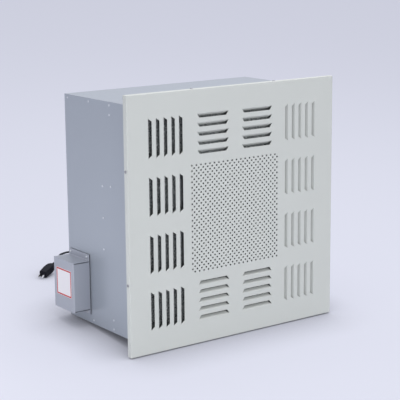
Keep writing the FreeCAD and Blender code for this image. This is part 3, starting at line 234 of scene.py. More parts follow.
for point, place in zip(line.points, route):
    point.co = (*place, 1)
line.order_u = 3
line.use_endpoint_u = True
power_cord = bpy.data.objects.new("power_cord", cord_curve)
bpy.context.scene.collection.objects.link(power_cord)


def pebble_group():
    """Fine bumps and a slow change of tone, from two noises on the piece's own coordinates."""
    group = bpy.data.node_groups.new("pebble", "ShaderNodeTree")
    group.interface.new_socket("Scale", in_out="INPUT", socket_type="NodeSocketFloat")
    group.interface.new_socket("Height", in_out="OUTPUT", socket_type="NodeSocketFloat")
    group.interface.new_socket("Tone", in_out="OUTPUT", socket_type="NodeSocketFloat")
    nodes, links = group.nodes, group.links
    entry = nodes.new("NodeGroupInput")
    leave = nodes.new("NodeGroupOutput")
    place = nodes.new("ShaderNodeTexCoord")
    fine = nodes.new("ShaderNodeTexNoise")
    slow = nodes.new("ShaderNodeTexNoise")
    fine.inputs["Detail"].default_value = 2
    slow.inputs["Scale"].default_value = 9
    slow.inputs["Detail"].default_value = 4
    links.new(entry.outputs["Scale"], fine.inputs["Scale"])
    for noise in (fine, slow):
        links.new(place.outputs["Object"], noise.inputs["Vector"])
    links.new(fine.outputs["Fac"], leave.inputs["Height"])
    links.new(slow.outputs["Fac"], leave.inputs["Tone"])
    return group


pebble = pebble_group()


def finish_of(name, colour, roughness, metallic=0.0, scale=1500.0, bump=0.04, tone=0.06, specular=0.5):
    """A plain finish: the colour and the gloss, a little stronger and weaker in slow patches, and fine
    bumps whose height is given in millimetres."""
    rough_by = 0.12
    material = bpy.data.materials.new(name)
    material.use_nodes = True
    nodes, links = material.node_tree.nodes, material.node_tree.links
    shader = nodes["Principled BSDF"]
    shader.inputs["Metallic"].default_value = metallic
    shader.inputs["Specular IOR Level"].default_value = specular
    grain = nodes.new("ShaderNodeGroup")
    grain.node_tree = pebble
    grain.inputs["Scale"].default_value = scale
    shade = nodes.new("ShaderNodeMix")
    shade.data_type = "RGBA"
    shade.inputs["A"].default_value = (*(c * (1 - tone) for c in colour), 1)
    shade.inputs["B"].default_value = (*(min(1, c * (1 + tone)) for c in colour), 1)
    links.new(grain.outputs["Tone"], shade.inputs["Factor"])
    links.new(shade.outputs["Result"], shader.inputs["Base Color"])
    rough = nodes.new("ShaderNodeMapRange")
    rough.inputs["From Min"].default_value = 0.3
    rough.inputs["From Max"].default_value = 0.7
    rough.inputs["To Min"].default_value = roughness * (1 - rough_by)
    rough.inputs["To Max"].default_value = min(1, roughness * (1 + rough_by))
    links.new(grain.outputs["Tone"], rough.inputs["Value"])
    links.new(rough.outputs["Result"], shader.inputs["Roughness"])
    relief = nodes.new("ShaderNodeBump")
    relief.inputs["Strength"].default_value = 1.0
    relief.inputs["Distance"].default_value = bump / 1000
    links.new(grain.outputs["Height"], relief.inputs["Height"])
    links.new(relief.outputs["Normal"], shader.inputs["Normal"])
    return material


def dress(piece, material, body, slot, *nodes):
    """Gives a new piece its material and its body, and hides the solids it stands for. The slot is not used.
    """
    piece.data.materials.append(material)
    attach(piece, body)
    if nodes:
        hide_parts(*nodes)
    return piece


cord_rubber = finish_of("cord_rubber", (0.006, 0.006, 0.011), 0.60, scale=2500, bump=0.02, specular=0.18)
dress(power_cord, cord_rubber, "unit", "black_rubber", "power_cord_lead", "power_cord_coil", "power_cord_end")


def skin(name, grids, close_columns=True, close_rows=False, caps=True, sharp=35):
    """One mesh through grids of points, rows by columns. Quads join neighbours, closing wraps a way
    round, caps fill the first and last row, and a closed shape is turned so that it faces outwards."""
    points, faces, start = [], [], 0
    for grid in grids:
        rows, columns = grid.shape[:2]
        index = start + np.arange(rows * columns).reshape(rows, columns)
        wide = np.hstack([index, index[:, :1]]) if close_columns else index
        wide = np.vstack([wide, wide[:1]]) if close_rows else wide
        quads = np.stack([wide[:-1, :-1], wide[:-1, 1:], wide[1:, 1:], wide[1:, :-1]], -1)
        faces += quads.reshape(-1, 4).tolist()
        if caps:
            faces += [index[0, ::-1].tolist(), index[-1].tolist()]
        points.append(grid.reshape(-1, 3))
        start += rows * columns
    mesh = bpy.data.meshes.new(name)
    mesh.from_pydata(np.concatenate(points).tolist(), [], faces)
    mesh.calc_loop_triangles()
    corners = np.zeros(len(mesh.loop_triangles) * 3, np.int32)
    mesh.loop_triangles.foreach_get("vertices", corners)
    a, b, c = np.moveaxis(np.concatenate(points)[corners.reshape(-1, 3)], 1, 0)
    if (caps or close_rows) and np.einsum("ij,ij->", a, np.cross(b, c)) < 0:
        mesh.flip_normals()
    mesh.shade_smooth()
    mesh.set_sharp_from_angle(angle=math.radians(sharp))
    piece = bpy.data.objects.new(name, mesh)
    bpy.context.scene.collection.objects.link(piece)
    return piece


# Plug: a straight moulded plug in black rubber, with a ribbed sleeve on the cord, a body with finger ribs,
# and two flat nickel-plated blades. Its nose lies on the floor and its tail is held up.
plug_length, plug_sleeve = 0.076, 0.0185
pin_spread = 0.0127
floor_normal = Vector((0, -math.sin(lean), math.cos(lean)))
plug_side = floor_normal.cross(plug_line).normalized()
plug_up = plug_line.cross(plug_side)
plug_seat = Matrix.Translation(plug_tail) @ Matrix((plug_line, plug_side, plug_up)).transposed().to_4x4()


def placed(points, seat):
    """The points carried from a piece's own frame by its seat."""
    turn = np.array(seat.to_3x3())
    return points @ turn.T + np.array(seat.translation)


def plug_shape():
    """Rounded-box sections along the plug. Width and thickness follow smooth curves, and ribs ride on
    the sleeve and on the grip as short waves."""
    along = np.linspace(0, plug_length, 115)
    stations = [0, plug_sleeve, 0.020, 0.0235, 0.029, 0.037, 0.049, 0.058, 0.066, 0.0735, 0.0755, plug_length]
    wide = [7.2, 12.2, 13.6, 19.6, 23.6, 26.2, 27.0, 25.8, 24.0, 23.4, 22.8, 21.4]
    deep = [7.2, 12.2, 13.6, 18.0, 20.6, 22.2, 22.6, 22.4, 22.0, 21.6, 21.0, 19.8]
    width, thick = np.interp(along, stations, wide) / 1000, np.interp(along, stations, deep) / 1000
    sleeve = (along < plug_sleeve) * 0.0008 * (np.cos(along * 2 * math.pi / 0.0037) > 0)
    grip = ((along > 0.040) & (along < 0.056)) * 0.0004 * np.cos(along * 2 * math.pi / 0.0032)
    turn = np.linspace(0, 2 * math.pi, 56, endpoint=False)
    corner = np.interp(along, [0, 0.0195, 0.030, plug_length], [1.0, 1.0, 0.5, 0.42])[:, None]
    across = np.sign(np.cos(turn)) * np.abs(np.cos(turn)) ** corner
    upward = np.sign(np.sin(turn)) * np.abs(np.sin(turn)) ** corner
    points = np.zeros((len(along), len(turn), 3))
    points[..., 0] = along[:, None]
    points[..., 1] = across * (width / 2 - sleeve + grip)[:, None]
    points[..., 2] = upward * (thick / 2 - sleeve)[:, None]
    return points


plug = skin("plug", [placed(plug_shape(), plug_seat)])
dress(plug, cord_rubber, "unit", "black_rubber", "plug_body")


def turned(profile, sides=32):
    """A surface of revolution about X: rows are (along, radius) pairs and columns go once round."""
    along, radius = np.array(profile, float).T
    turn = np.linspace(0, 2 * math.pi, sides, endpoint=False)
    points = np.zeros((len(along), sides, 3))
    points[..., 0] = along[:, None]
    points[..., 1] = radius[:, None] * np.cos(turn)
    points[..., 2] = radius[:, None] * np.sin(turn)
    return points


def blade_shape():
    """A flat blade along the plug's axis: rounded-rectangle sections that draw in over the last part."""
    along = np.array([0.0755, 0.0890, 0.0912, 0.0924, 0.0930])
    wide = np.array([6.3, 6.3, 5.9, 5.1, 4.2]) / 2000
    thick = np.array([1.5, 1.5, 1.4, 1.1, 0.7]) / 2000
    turn = np.linspace(0, 2 * math.pi, 24, endpoint=False)
    points = np.zeros((5, 24, 3))
    points[..., 0] = along[:, None]
    points[..., 1] = np.sign(np.cos(turn)) * np.abs(np.cos(turn)) ** 0.3 * thick[:, None]
    points[..., 2] = np.sign(np.sin(turn)) * np.abs(np.sin(turn)) ** 0.3 * wide[:, None]
    return points


blades = [placed(blade_shape() + np.array([0, side * pin_spread / 2, 0]), plug_seat) for side in (-1, 1)]
plug_pins = skin("plug_pins", blades)
pin_nickel = finish_of("pin_nickel", (0.93, 0.92, 0.90), 0.22, metallic=1.0, bump=0.004, tone=0.03)
dress(plug_pins, pin_nickel, "unit", "pin_nickel", "plug_pins")

# Coil tie: a flat band of black plastic, 8 mm wide, closed round the coil's three turns at one place.
# It holds the put-away length together on the floor.
tie_turn = math.radians(110)
tie_wide, tie_thick = 0.008, 0.0008
tie_reach, tie_middle = 0.036, 0.0060


def tie_shape():
    """A flat band's section carried round a rounded box that encloses the coil's turns."""
    turn = np.linspace(0, 2 * math.pi, 48, endpoint=False)
    across = np.sign(np.cos(turn)) * np.abs(np.cos(turn)) ** 0.6
    upward = np.sign(np.sin(turn)) * np.abs(np.sin(turn)) ** 0.6
    band = [(-0.5, 0.0), (0.5, 0.0), (0.5, tie_thick), (-0.5, tie_thick)]
    points = np.zeros((48, 4, 3))
    for column, (wide, out) in enumerate(band):
        points[:, column, 0] = tie_reach + across * (0.0064 + out)
        points[:, column, 1] = wide * tie_wide
        points[:, column, 2] = tie_middle + upward * (0.0061 + out)
    return points


coil_seat = (
    Matrix.Translation(on_floor(coil_middle.x, coil_middle.y, coil_lift))
    @ Matrix.Rotation(lean, 4, "X")
    @ Matrix.Rotation(tie_turn, 4, "Z")
)
cord_tie = skin("cord_tie", [placed(tie_shape(), coil_seat)], close_rows=True, caps=False)
black_plastic = finish_of("black_plastic", (0.014, 0.014, 0.018), 0.42, scale=1200, bump=0.02)
dress(cord_tie, black_plastic, "unit", "black_plastic", "cord_tie")

# Cord sleeve and cable gland: a hexagon-nutted gland in black plastic on the control box's rear side, with
# a domed cap and a tapered rubber sleeve whose rings let it bend.
rear = Matrix.Translation((-0.314, 0.324, -0.200)) @ Matrix.Rotation(math.pi / 2, 4, "Z")


def gland_shape():
    """Sections along the gland: six-sided for the nut, then round and drawn in for the cap."""
    rows = [
        (0.0000, 0.0093, 0.0), (0.0008, 0.0098, 0.0), (0.0052, 0.0098, 0.0), (0.0060, 0.0092, 0.0),
        (0.0061, 0.0078, 1.0), (0.0095, 0.0077, 1.0), (0.0118, 0.0072, 1.0), (0.0133, 0.0064, 1.0),
        (0.0140, 0.0054, 1.0),
    ]
    turn = np.linspace(0, 2 * math.pi, 48, endpoint=False)
    flat = math.cos(math.pi / 6) / np.cos((turn + math.pi / 6) % (math.pi / 3) - math.pi / 6)
    points = np.zeros((len(rows), 48, 3))
    for row, (along, radius, roundness) in enumerate(rows):
        reach = radius * (roundness + (1 - roundness) * flat)
        points[row] = np.stack([np.full(48, along), reach * np.cos(turn), reach * np.sin(turn)], -1)
    return points


cable_gland = skin("cable_gland", [placed(gland_shape(), rear)])
dress(cable_gland, black_plastic, "unit", "black_plastic", "cable_gland")
sleeve_rows = [(0.0138, 0.0040), (0.0139, 0.0053)]
for ring in range(6):
    start = 0.0148 + ring * 0.0034
    reach = 0.0053 - ring * 0.00028
    sleeve_rows += [(start, reach), (start + 0.0022, reach - 0.0002), (start + 0.0024, reach - 0.0011)]
    sleeve_rows += [(start + 0.0032, reach - 0.0012)]
sleeve_rows += [(0.0352, 0.0037), (0.0360, 0.0034)]
cord_sleeve = skin("cord_sleeve", [placed(turned(sleeve_rows), rear)])
dress(cord_sleeve, cord_rubber, "unit", "black_rubber", "cord_sleeve")

# Front panel: one folded sheet of steel with a very light warm-grey powder coat. The outlet field is 800
# punched holes in staggered rows, the 60 louvres are tabs cut free on three sides and bent in about their
# outer edge, and the edges are folded back with a small round bend.
panel_half = 0.330
panel_front = -0.015
panel_sheet = 0.001
bend = 0.0016
return_start, return_deep = 0.0060, 0.0145
sheet_half = panel_half - bend - 0.003
field_pitch = 0.01414
field_rows, field_columns = 40, 20
field_middle = 6 * (field_rows - 1) // 2
hole_radius = 0.0025
long_half, short_half, louvre_width = 0.0500, 0.0420, 0.0115
louvre_first, louvre_pitch = 0.2685, 0.023
louvre_rim = 0.0013


def outlet_field():
    """One square cell, standing on its corner, for each hole: twelve points round the hole joined to
    twelve points round the cell's edge. The edge points are whole steps of a twelfth of the pitch, so
    that neighbouring cells share them exactly."""
    step = field_pitch / 12
    rows, columns = np.meshgrid(np.arange(field_rows), np.arange(field_columns), indexing="ij")
    across = 12 * columns - field_middle + 6 * ((rows + 1) % 2)
    upward = 6 * rows - field_middle
    centres = np.stack([across.ravel(), upward.ravel()], -1)
    turn = np.arange(12) * math.pi / 6
    hole = hole_radius * np.stack([np.cos(turn), np.sin(turn)], -1)
    tips = np.array([(6, 0), (0, 6), (-6, 0), (0, -6)])
    share = np.arange(3)[:, None]
    edge = np.concatenate([(tips[k] * (3 - share) + tips[(k + 1) % 4] * share) // 3 for k in range(4)])
    points = np.concatenate([hole + (centres * step)[:, None], (edge + centres[:, None]) * step], axis=1)
    base = np.arange(len(centres))[:, None] * 24
    k, after = np.arange(12), (np.arange(12) + 1) % 12
    triangles = np.concatenate(
        [np.stack([k, k + 12, after + 12], -1), np.stack([k, after + 12, after], -1)]
    )
    triangles = (base[:, None] + triangles).reshape(-1, 3)
    sides = (base[:, None] + np.stack([k + 12, after + 12], -1)).reshape(-1, 2)
    return points.reshape(-1, 2), triangles, sides


def louvre_opening():
    """The opening's outline: up one slanting end, along the fold, down the other end and back along the
    cut edge. The fold lies at height 0 and is the long side."""
    foot = np.array([-short_half, -louvre_width])
    corner = np.array([-long_half, 0.0])
    end = foot + np.linspace(0, 1, 5)[:-1, None] * (corner - foot)
    fold = np.stack([np.linspace(-long_half, long_half, 13), np.zeros(13)], -1)
    cut = np.stack([np.linspace(short_half, -short_half, 9)[1:-1], np.full(7, -louvre_width)], -1)
    return np.concatenate([end, fold, end[::-1] * np.array([-1, 1]), cut])


def louvre_flap():
    """The flap, a plain tab bent inwards about the fold. With the flat distance s from the fold, it
    follows a bend of radius r up to the angle a and then runs straight on: (r sin a + (s - r a) cos a)
    across and (r (1 - cos a) + (s - r a) sin a) deep. Its sides draw in as those of the opening do."""
    radius, angle, kerf = 0.0015, math.radians(54), 0.0002
    arc = radius * angle
    reach = np.array([0, arc / 3, arc * 2 / 3, arc, 0.0040, 0.0075, louvre_width - kerf])
    turn = np.minimum(reach, arc) / radius
    straight = np.maximum(reach - arc, 0)
    across = radius * np.sin(turn) + straight * math.cos(angle)
    deep = radius * (1 - np.cos(turn)) + straight * math.sin(angle)
    half = long_half - (long_half - short_half) * reach / louvre_width - kerf * (reach > 0)
    points = np.zeros((len(reach), 13, 3))
    points[..., 0] = half[:, None] * np.linspace(-1, 1, 13)
    points[..., 1] = -across[:, None]
    points[..., 2] = deep[:, None]
    return points


def offset_outline(outline, by):
    """The closed outline moved outwards: each point goes along the mean of its two edge normals."""
    ahead = np.roll(outline, -1, 0) - outline
    ahead /= np.linalg.norm(ahead, axis=1)[:, None]
    normal = np.stack([-ahead[:, 1], ahead[:, 0]], -1)
    mean = normal + np.roll(normal, 1, 0)
    mean /= np.einsum("ij,ij->i", mean, mean)[:, None] / 2
    return outline + by * mean


louvre_seats = []
for side in range(4):
    groups, spread = ((2, 0.142), (4, 0.146))[side % 2]
    for number in range(groups):
        for step in range(5):
            along = (number - (groups - 1) / 2) * spread
            louvre_seats.append((side, along, louvre_first - step * louvre_pitch))


def seated(points, seat):
    """A louvre's points turned to its side of the panel and moved to its place."""
    side, along, out = seat
    turn = side * math.pi / 2
    across, upward = points[..., 0] + along, points[..., 1] + out
    moved = points.copy()
    moved[..., 0] = across * math.cos(turn) + upward * math.sin(turn)
    moved[..., 1] = -across * math.sin(turn) + upward * math.cos(turn)
    return moved


def square_ring(half, radius, corner_points=5):
    """A square outline with rounded corners, running anticlockwise from the right side."""
    turn = np.linspace(0, math.pi / 2, corner_points)
    quarter = np.stack([half - radius + radius * np.cos(turn), half - radius + radius * np.sin(turn)], -1)
    straight = np.stack([np.full(5, half), np.linspace(-half + radius, half - radius, 7)[1:-1]], -1)
    side = np.concatenate([straight, quarter])
    sides = []
    for a in np.arange(4) * math.pi / 2:
        sides.append(side @ np.array([[math.cos(a), math.sin(a)], [-math.sin(a), math.cos(a)]]))
    return np.concatenate(sides)


def panel_skin():
    """The panel's front skin. Its parts are the field's cells, the louvres with a flat rim round each,
    the folded edge as square rings carried along a bend, and flat sheet between them, triangulated
    within those outlines. Equal points are then made one."""
    points, triangles = [], []
    count = 0

    def add(flat, depth, faces):
        nonlocal count
        deep = np.broadcast_to(depth, flat.shape[:-1])[..., None]
        points.append(np.concatenate([flat, deep], -1).reshape(-1, 3))
        triangles.append(np.asarray(faces).reshape(-1, 3) + count)
        count += len(points[-1])

    field_points, field_triangles, field_sides = outlet_field()
    add(field_points, 0.0, field_triangles)
    keys = np.round(field_points * 1e6).astype(np.int64)
    _, same = np.unique(keys, axis=0, return_inverse=True)
    pairs = np.sort(same.ravel()[field_sides], axis=1)
    _, first, times = np.unique(pairs, axis=0, return_index=True, return_counts=True)
    rim = field_sides[first[times == 1]]
    loops = [field_points[rim].reshape(-1, 2)]
    loop_count = len(rim) * 2
    loop_edges = [np.arange(loop_count).reshape(-1, 2)]

    flap = louvre_flap()
    rows, columns = flap.shape[:2]
    index = np.arange(rows * columns).reshape(rows, columns)
    quads = np.stack([index[:-1, :-1], index[:-1, 1:], index[1:, 1:], index[1:, :-1]], -1).reshape(-1, 4)
    flap_triangles = np.concatenate([quads[:, [0, 3, 2]], quads[:, [0, 2, 1]]])
    outline = louvre_opening()
    outer = offset_outline(outline, louvre_rim)
    n = len(outline)
    k, after = np.arange(n), (np.arange(n) + 1) % n
    rim_triangles = np.concatenate([np.stack([k, after, after + n], -1), np.stack([k, after + n, k + n], -1)])
    for seat in louvre_seats:
        add(seated(flap[..., :2], seat), flap[..., 2], flap_triangles)
        add(seated(np.concatenate([outline, outer]), seat), 0.0, rim_triangles)
        loops.append(seated(outer, seat))
        loop_edges.append(np.stack([k, after], -1) + loop_count)
        loop_count += n

    arc = np.linspace(0, math.pi / 2, 7)
    profile = [(sheet_half, 0.0)]
    profile += [(panel_half - bend + bend * math.sin(a), bend - bend * math.cos(a)) for a in arc]
    profile += [(panel_half, return_start), (panel_half, return_deep)]
    rings = [square_ring(half, max(0.0004, bend - (panel_half - half))) for half, _ in profile]
    m = len(rings[0])
    ring_points = np.stack(rings)
    depth = np.broadcast_to(np.array([d for _, d in profile])[:, None], ring_points.shape[:2])
    index = np.arange(len(profile) * m).reshape(len(profile), m)
    wide = np.hstack([index, index[:, :1]])
    quads = np.stack([wide[:-1, :-1], wide[:-1, 1:], wide[1:, 1:], wide[1:, :-1]], -1).reshape(-1, 4)
    add(ring_points, depth, np.concatenate([quads[:, [0, 3, 2]], quads[:, [0, 2, 1]]]))
    loops.append(rings[0])
    k, after = np.arange(m), (np.arange(m) + 1) % m
    loop_edges.append(np.stack([k, after], -1) + loop_count)

    plan = np.concatenate(loops)
    edges = np.concatenate(loop_edges)
    found = delaunay_2d_cdt([Vector(p) for p in plan], edges.tolist(), [], 0, 1e-7)
    places = plan[[origins[0] for origins in found[3]]]
    sheet = np.array(found[2])
    middle = places[sheet].mean(1)
    keep = np.abs(middle).max(1) < sheet_half
    half = field_pitch / 2
    near_rows = np.round(middle[:, 1] / half + field_middle / 6)
    for shift in (-1, 0, 1):
        row = near_rows + shift
        stagger = 0.5 * ((row + 1) % 2) - field_middle / 12
        column = np.round(middle[:, 0] / field_pitch - stagger)
        inside_grid = (row >= 0) & (row < field_rows) & (column >= 0) & (column < field_columns)
        away = np.abs(middle[:, 0] - (column + stagger) * field_pitch)
        away += np.abs(middle[:, 1] - (row - field_middle / 6) * half)
        keep &= ~(inside_grid & (away < half * 1.001))
    for seat in louvre_seats:
        side, along, out = seat
        turn = side * math.pi / 2
        across = middle[:, 0] * math.cos(turn) - middle[:, 1] * math.sin(turn) - along
        upward = middle[:, 0] * math.sin(turn) + middle[:, 1] * math.cos(turn) - out
        box = np.abs(across) < long_half + 0.003
        box &= (upward < louvre_rim + 0.0001) & (upward > -louvre_width - 0.0015)
        near = np.flatnonzero(box)
        ahead = np.roll(outer, -1, 0) - outer
        offset = np.stack([across[near], upward[near]], -1)[:, None] - outer
        turn_side = ahead[:, 0] * offset[..., 1] - ahead[:, 1] * offset[..., 0]
        keep[near[(turn_side < 0).all(1)]] = False
    corners = places[sheet[keep]]
    winding = np.cross(corners[:, 1] - corners[:, 0], corners[:, 2] - corners[:, 0])
    chosen = np.where(winding[:, None] > 0, sheet[keep], sheet[keep][:, ::-1])
    add(places, 0.0, chosen)

    everything = np.concatenate(points)
    faces = np.concatenate(triangles)
    keys = np.round(everything * 2e6).astype(np.int64)
    _, first, same = np.unique(keys, axis=0, return_index=True, return_inverse=True)
    faces = same.ravel()[faces]
    real = (faces[:, 0] != faces[:, 1]) & (faces[:, 1] != faces[:, 2]) & (faces[:, 2] != faces[:, 0])
    used, faces = np.unique(faces[real], return_inverse=True)
    flat = everything[first][used]
    return np.stack([flat[:, 0], panel_front + flat[:, 2], flat[:, 1]], -1), faces.reshape(-1, 3)


panel_points, panel_faces = panel_skin()
panel_mesh = bpy.data.meshes.new("front_panel")
panel_mesh.from_pydata(panel_points.tolist(), [], panel_faces.tolist())
panel_mesh.shade_smooth()
panel_mesh.set_sharp_from_angle(angle=math.radians(40))
loop_edge = np.zeros(len(panel_mesh.loops), np.int32)
panel_mesh.loops.foreach_get("edge_index", loop_edge)
cut_edges = np.bincount(loop_edge, minlength=len(panel_mesh.edges)) == 1
sharp_edges = panel_mesh.attributes.get("sharp_edge")
if sharp_edges is None:
    sharp_edges = panel_mesh.attributes.new("sharp_edge", "BOOLEAN", "EDGE")
was_sharp = np.zeros(len(panel_mesh.edges), bool)
sharp_edges.data.foreach_get("value", was_sharp)
sharp_edges.data.foreach_set("value", was_sharp | cut_edges)
front_panel = bpy.data.objects.new("front_panel_sheet", panel_mesh)
bpy.context.scene.collection.objects.link(front_panel)
thickness = front_panel.modifiers.new("sheet", "SOLIDIFY")
thickness.thickness = panel_sheet
thickness.offset = -1
thickness.use_even_offset = True
thickness.thickness_clamp = 1.5
panel_coat = finish_of("panel_coat", (0.60, 0.62, 0.585), 0.45, scale=1100, bump=0.03, tone=0.015)
dress(front_panel, panel_coat, "unit", "panel_coat", "front_panel")

# Panel screws: small steel pan-head screws with a cross recess. Two go through each folded edge of the
# panel into the frame behind it, and they stand a little further apart on the upright edges.
screw_spreads = (0.264, 0.286)
screw_back = -0.0075


def pan_head(head_radius, head_height):
    """A domed disc: height falls with the fourth power of the radius, less a cross recess whose arms
    are smooth steps across and along."""
    radius = np.concatenate([np.linspace(0.0001, 0.9, 16), [0.95, 0.98, 1.0, 1.0]]) * head_radius
    turn = np.linspace(0, 2 * math.pi, 64, endpoint=False)
    across = radius[:, None] * np.cos(turn)
    upward = radius[:, None] * np.sin(turn)
    height = head_height * np.sqrt(np.clip(1 - (radius / head_radius) ** 4, 0, 1))
    height = np.repeat(height[:, None], len(turn), axis=1)
    height[-2] = 0.0006
    height[-1] = 0.0
    arms = []
    for one, other in ((across, upward), (upward, across)):
        narrow = np.clip((0.00055 - np.abs(one)) / 0.0002, 0, 1)
        short = np.clip((0.0021 - np.abs(other)) / 0.0005, 0, 1)
        arms.append(narrow * short)
    height = np.where(height > 0.0007, height - 0.0013 * np.maximum(*arms), height)
    return np.stack([across, upward, height], -1)


screw_places = []
for side in range(4):
    spread = screw_spreads[side % 2]
    for sign in (-1, 1):
        seat = Matrix.Rotation(side * math.pi / 2, 4, "Y")
        seat = seat @ Matrix.Translation((sign * spread / 2, screw_back, panel_half))
        screw_places.append(seat @ Matrix.Rotation(0.4 + side + sign, 4, "Z"))
panel_screws = skin("panel_screw_heads", [placed(pan_head(0.0038, 0.0024), seat) for seat in screw_places])
dark_steel = finish_of("dark_steel", (0.36, 0.36, 0.38), 0.30, metallic=1.0, bump=0.01)
dress(panel_screws, dark_steel, "unit", "dark_screws", "panel_screws")

# Casing: five sheets of steel with a smooth silver-grey coat, riveted together. The mounting frame, corner
# plates, mat tray, pressure box, brackets, inlet ring, motor plate and clips are zinc-coated sheet.
casing_half = 0.300
casing_coat = finish_of(
    "casing_coat", (0.40, 0.435, 0.48), 0.36, metallic=0.45, scale=900, bump=0.02, tone=0.02
)


def repaint(material, *nodes):
    """Gives solids that are shown as they are a better finish."""
    for node in nodes:
        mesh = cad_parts[node].data
        mesh.materials.clear()
        mesh.materials.append(material)


repaint(casing_coat, "casing_left", "casing_right", "casing_top", "casing_bottom", "casing_back")
zinc = finish_of("zinc", (0.56, 0.58, 0.60), 0.38, metallic=0.85, scale=300, bump=0.01, tone=0.10)
repaint(zinc, "mounting_frame", "corner_gussets", "mat_tray", "plenum_box", "plenum_bracket_left")
repaint(zinc, "plenum_bracket_right", "inlet_ring", "motor_plate", "filter_clips")

# Rivets: closed blind rivets with bright domed heads and a small dimple in the middle. They hold the
# casing's folded edges, its corner plates and the feet of the pressure box's brackets.
rivet_radius, rivet_high = 0.003, 0.0012
rivet_places = [
    (0.3145, 0.291), (0.3145, -0.291), (0.210, 0.291), (0.210, -0.291), (0.111, 0.291), (0.111, -0.291),
    (0.111, 0.267), (0.111, -0.267), (0.151, 0.080), (0.151, -0.003), (0.151, -0.086), (0.112, 0.084),
]


def rivet_head():
    """A shallow dome: height is the square root of one less the radius squared, with a dimple."""
    radius = np.array([0.06, 0.2, 0.26, 0.3, 0.5, 0.7, 0.85, 0.95, 1.0]) * rivet_radius
    height = rivet_high * np.sqrt(1 - (radius / (rivet_radius + 0.0001)) ** 2)
    height[:3] -= np.array([0.0005, 0.0004, 0.0001])
    height[-1] = 0.0
    return turned(np.stack([height, radius], -1), 20)


rivet_grids = []
for side in (-1, 1):
    for y, z in rivet_places:
        facing = Matrix.Rotation(0 if side > 0 else math.pi, 4, "Z")
        seat = Matrix.Translation((side * casing_half, y, z)) @ facing
        rivet_grids.append(placed(rivet_head(), seat))
casing_rivets = skin("rivet_heads", rivet_grids, sharp=50)
rivet_metal = finish_of("rivet_metal", (0.60, 0.62, 0.66), 0.35, metallic=0.7, bump=0.005)
dress(casing_rivets, rivet_metal, "unit", "rivet_metal", "casing_rivets")

# Coarse mats: loose-fibre mats in a tray behind the louvres, dark grey as a whole, because their tangle
# of fibres shows as fine light and dark specks.
mat_fibre = bpy.data.materials.new("mat_fibre")
mat_fibre.use_nodes = True
nodes, links = mat_fibre.node_tree.nodes, mat_fibre.node_tree.links
shader = nodes["Principled BSDF"]
shader.inputs["Roughness"].default_value = 0.9
shader.inputs["Specular IOR Level"].default_value = 0.2
place = nodes.new("ShaderNodeTexCoord")
tangle = nodes.new("ShaderNodeTexNoise")
tangle.inputs["Scale"].default_value = 420
tangle.inputs["Detail"].default_value = 3
tangle.inputs["Distortion"].default_value = 1.4
specks = nodes.new("ShaderNodeValToRGB")
specks.color_ramp.elements[0].position = 0.42
specks.color_ramp.elements[0].color = (0.10, 0.11, 0.11, 1)
specks.color_ramp.elements[1].position = 0.68
specks.color_ramp.elements[1].color = (0.80, 0.84, 0.84, 1)
relief = nodes.new("ShaderNodeBump")
relief.inputs["Distance"].default_value = 0.002
links.new(place.outputs["Object"], tangle.inputs["Vector"])
links.new(tangle.outputs["Fac"], specks.inputs["Fac"])
links.new(specks.outputs["Color"], shader.inputs["Base Color"])
links.new(tangle.outputs["Fac"], relief.inputs["Height"])
links.new(relief.outputs["Normal"], shader.inputs["Normal"])
repaint(mat_fibre, "mat_left", "mat_right", "mat_top", "mat_bottom")

# Fine filter: a satin aluminium frame round pleated white glass-fibre paper. Black foam seals lie on its
# front rim and on its back rim, and a like seal lies behind the control box.
filter_metal = finish_of("filter_metal", (0.70, 0.71, 0.72), 0.35, metallic=0.9, scale=500, bump=0.01)
repaint(filter_metal, "filter_frame")
filter_paper = finish_of("filter_paper", (0.72, 0.72, 0.69), 0.9, scale=700, bump=0.1, specular=0.1)
repaint(filter_paper, "filter_pleats")
foam = finish_of("foam", (0.006, 0.006, 0.007), 0.9, scale=1800, bump=0.2, specular=0.05)
repaint(foam, "outlet_seal", "filter_seal", "box_gasket")

# Fan: a wheel of plain aluminium sheet with backward-curved blades, pressed on the black can of its motor.
# The laminated core stays still inside the can, whose ground steel shaft turns in two bearings.
wheel_metal = finish_of("wheel_metal", (0.55, 0.56, 0.58), 0.3, metallic=1.0, scale=400, bump=0.01)
repaint(wheel_metal, "wheel_backplate", "wheel_blades", "wheel_shroud")
motor_coat = finish_of("motor_coat", (0.02, 0.02, 0.022), 0.5)
repaint(motor_coat, "motor_rotor")
motor_core = finish_of("motor_core", (0.22, 0.20, 0.18), 0.5, metallic=0.6, scale=2000)
repaint(motor_core, "motor_stator")
ground_steel = finish_of("ground_steel", (0.62, 0.63, 0.65), 0.18, metallic=1.0, bump=0.003)
repaint(ground_steel, "motor_shaft", "motor_bearings")

# Control box: light-grey coated sheet on a black foam pad. The base is a back plate with two shelves, each
# turned out of it with a small bend. The cover wraps front, face and rear, and its front and rear walls
# end in a narrow dark gap at the shelves.
box_coat = finish_of("box_coat", (0.39, 0.41, 0.46), 0.38, metallic=0.25, scale=900, bump=0.02, tone=0.02)
box_sheet = 0.0012
box_front, box_back = 0.222, 0.324
box_low, box_high = -0.265, -0.131
plate_low, plate_high = -0.278, -0.114
plate_in, plate_out, face_in, face_out = -0.302, -0.3032, -0.3498, -0.351
box_bend = 0.0020


def swept(outline, near, far, normal):
    """A closed outline carried straight from one level to another along Y or Z."""
    rows = []
    for level in (near, far):
        flat = np.full(len(outline), level)
        rows.append(np.insert(outline, 1 if normal == "Y" else 2, flat, axis=1))
    return np.stack(rows)


def softened(piece, width, segments=2):
    """Takes the sharpness off the sheet's edges."""
    edge = piece.modifiers.new("edge", "BEVEL")
    edge.width = width
    edge.segments = segments
    edge.limit_method = "ANGLE"
    edge.angle_limit = math.radians(50)
    edge.harden_normals = True


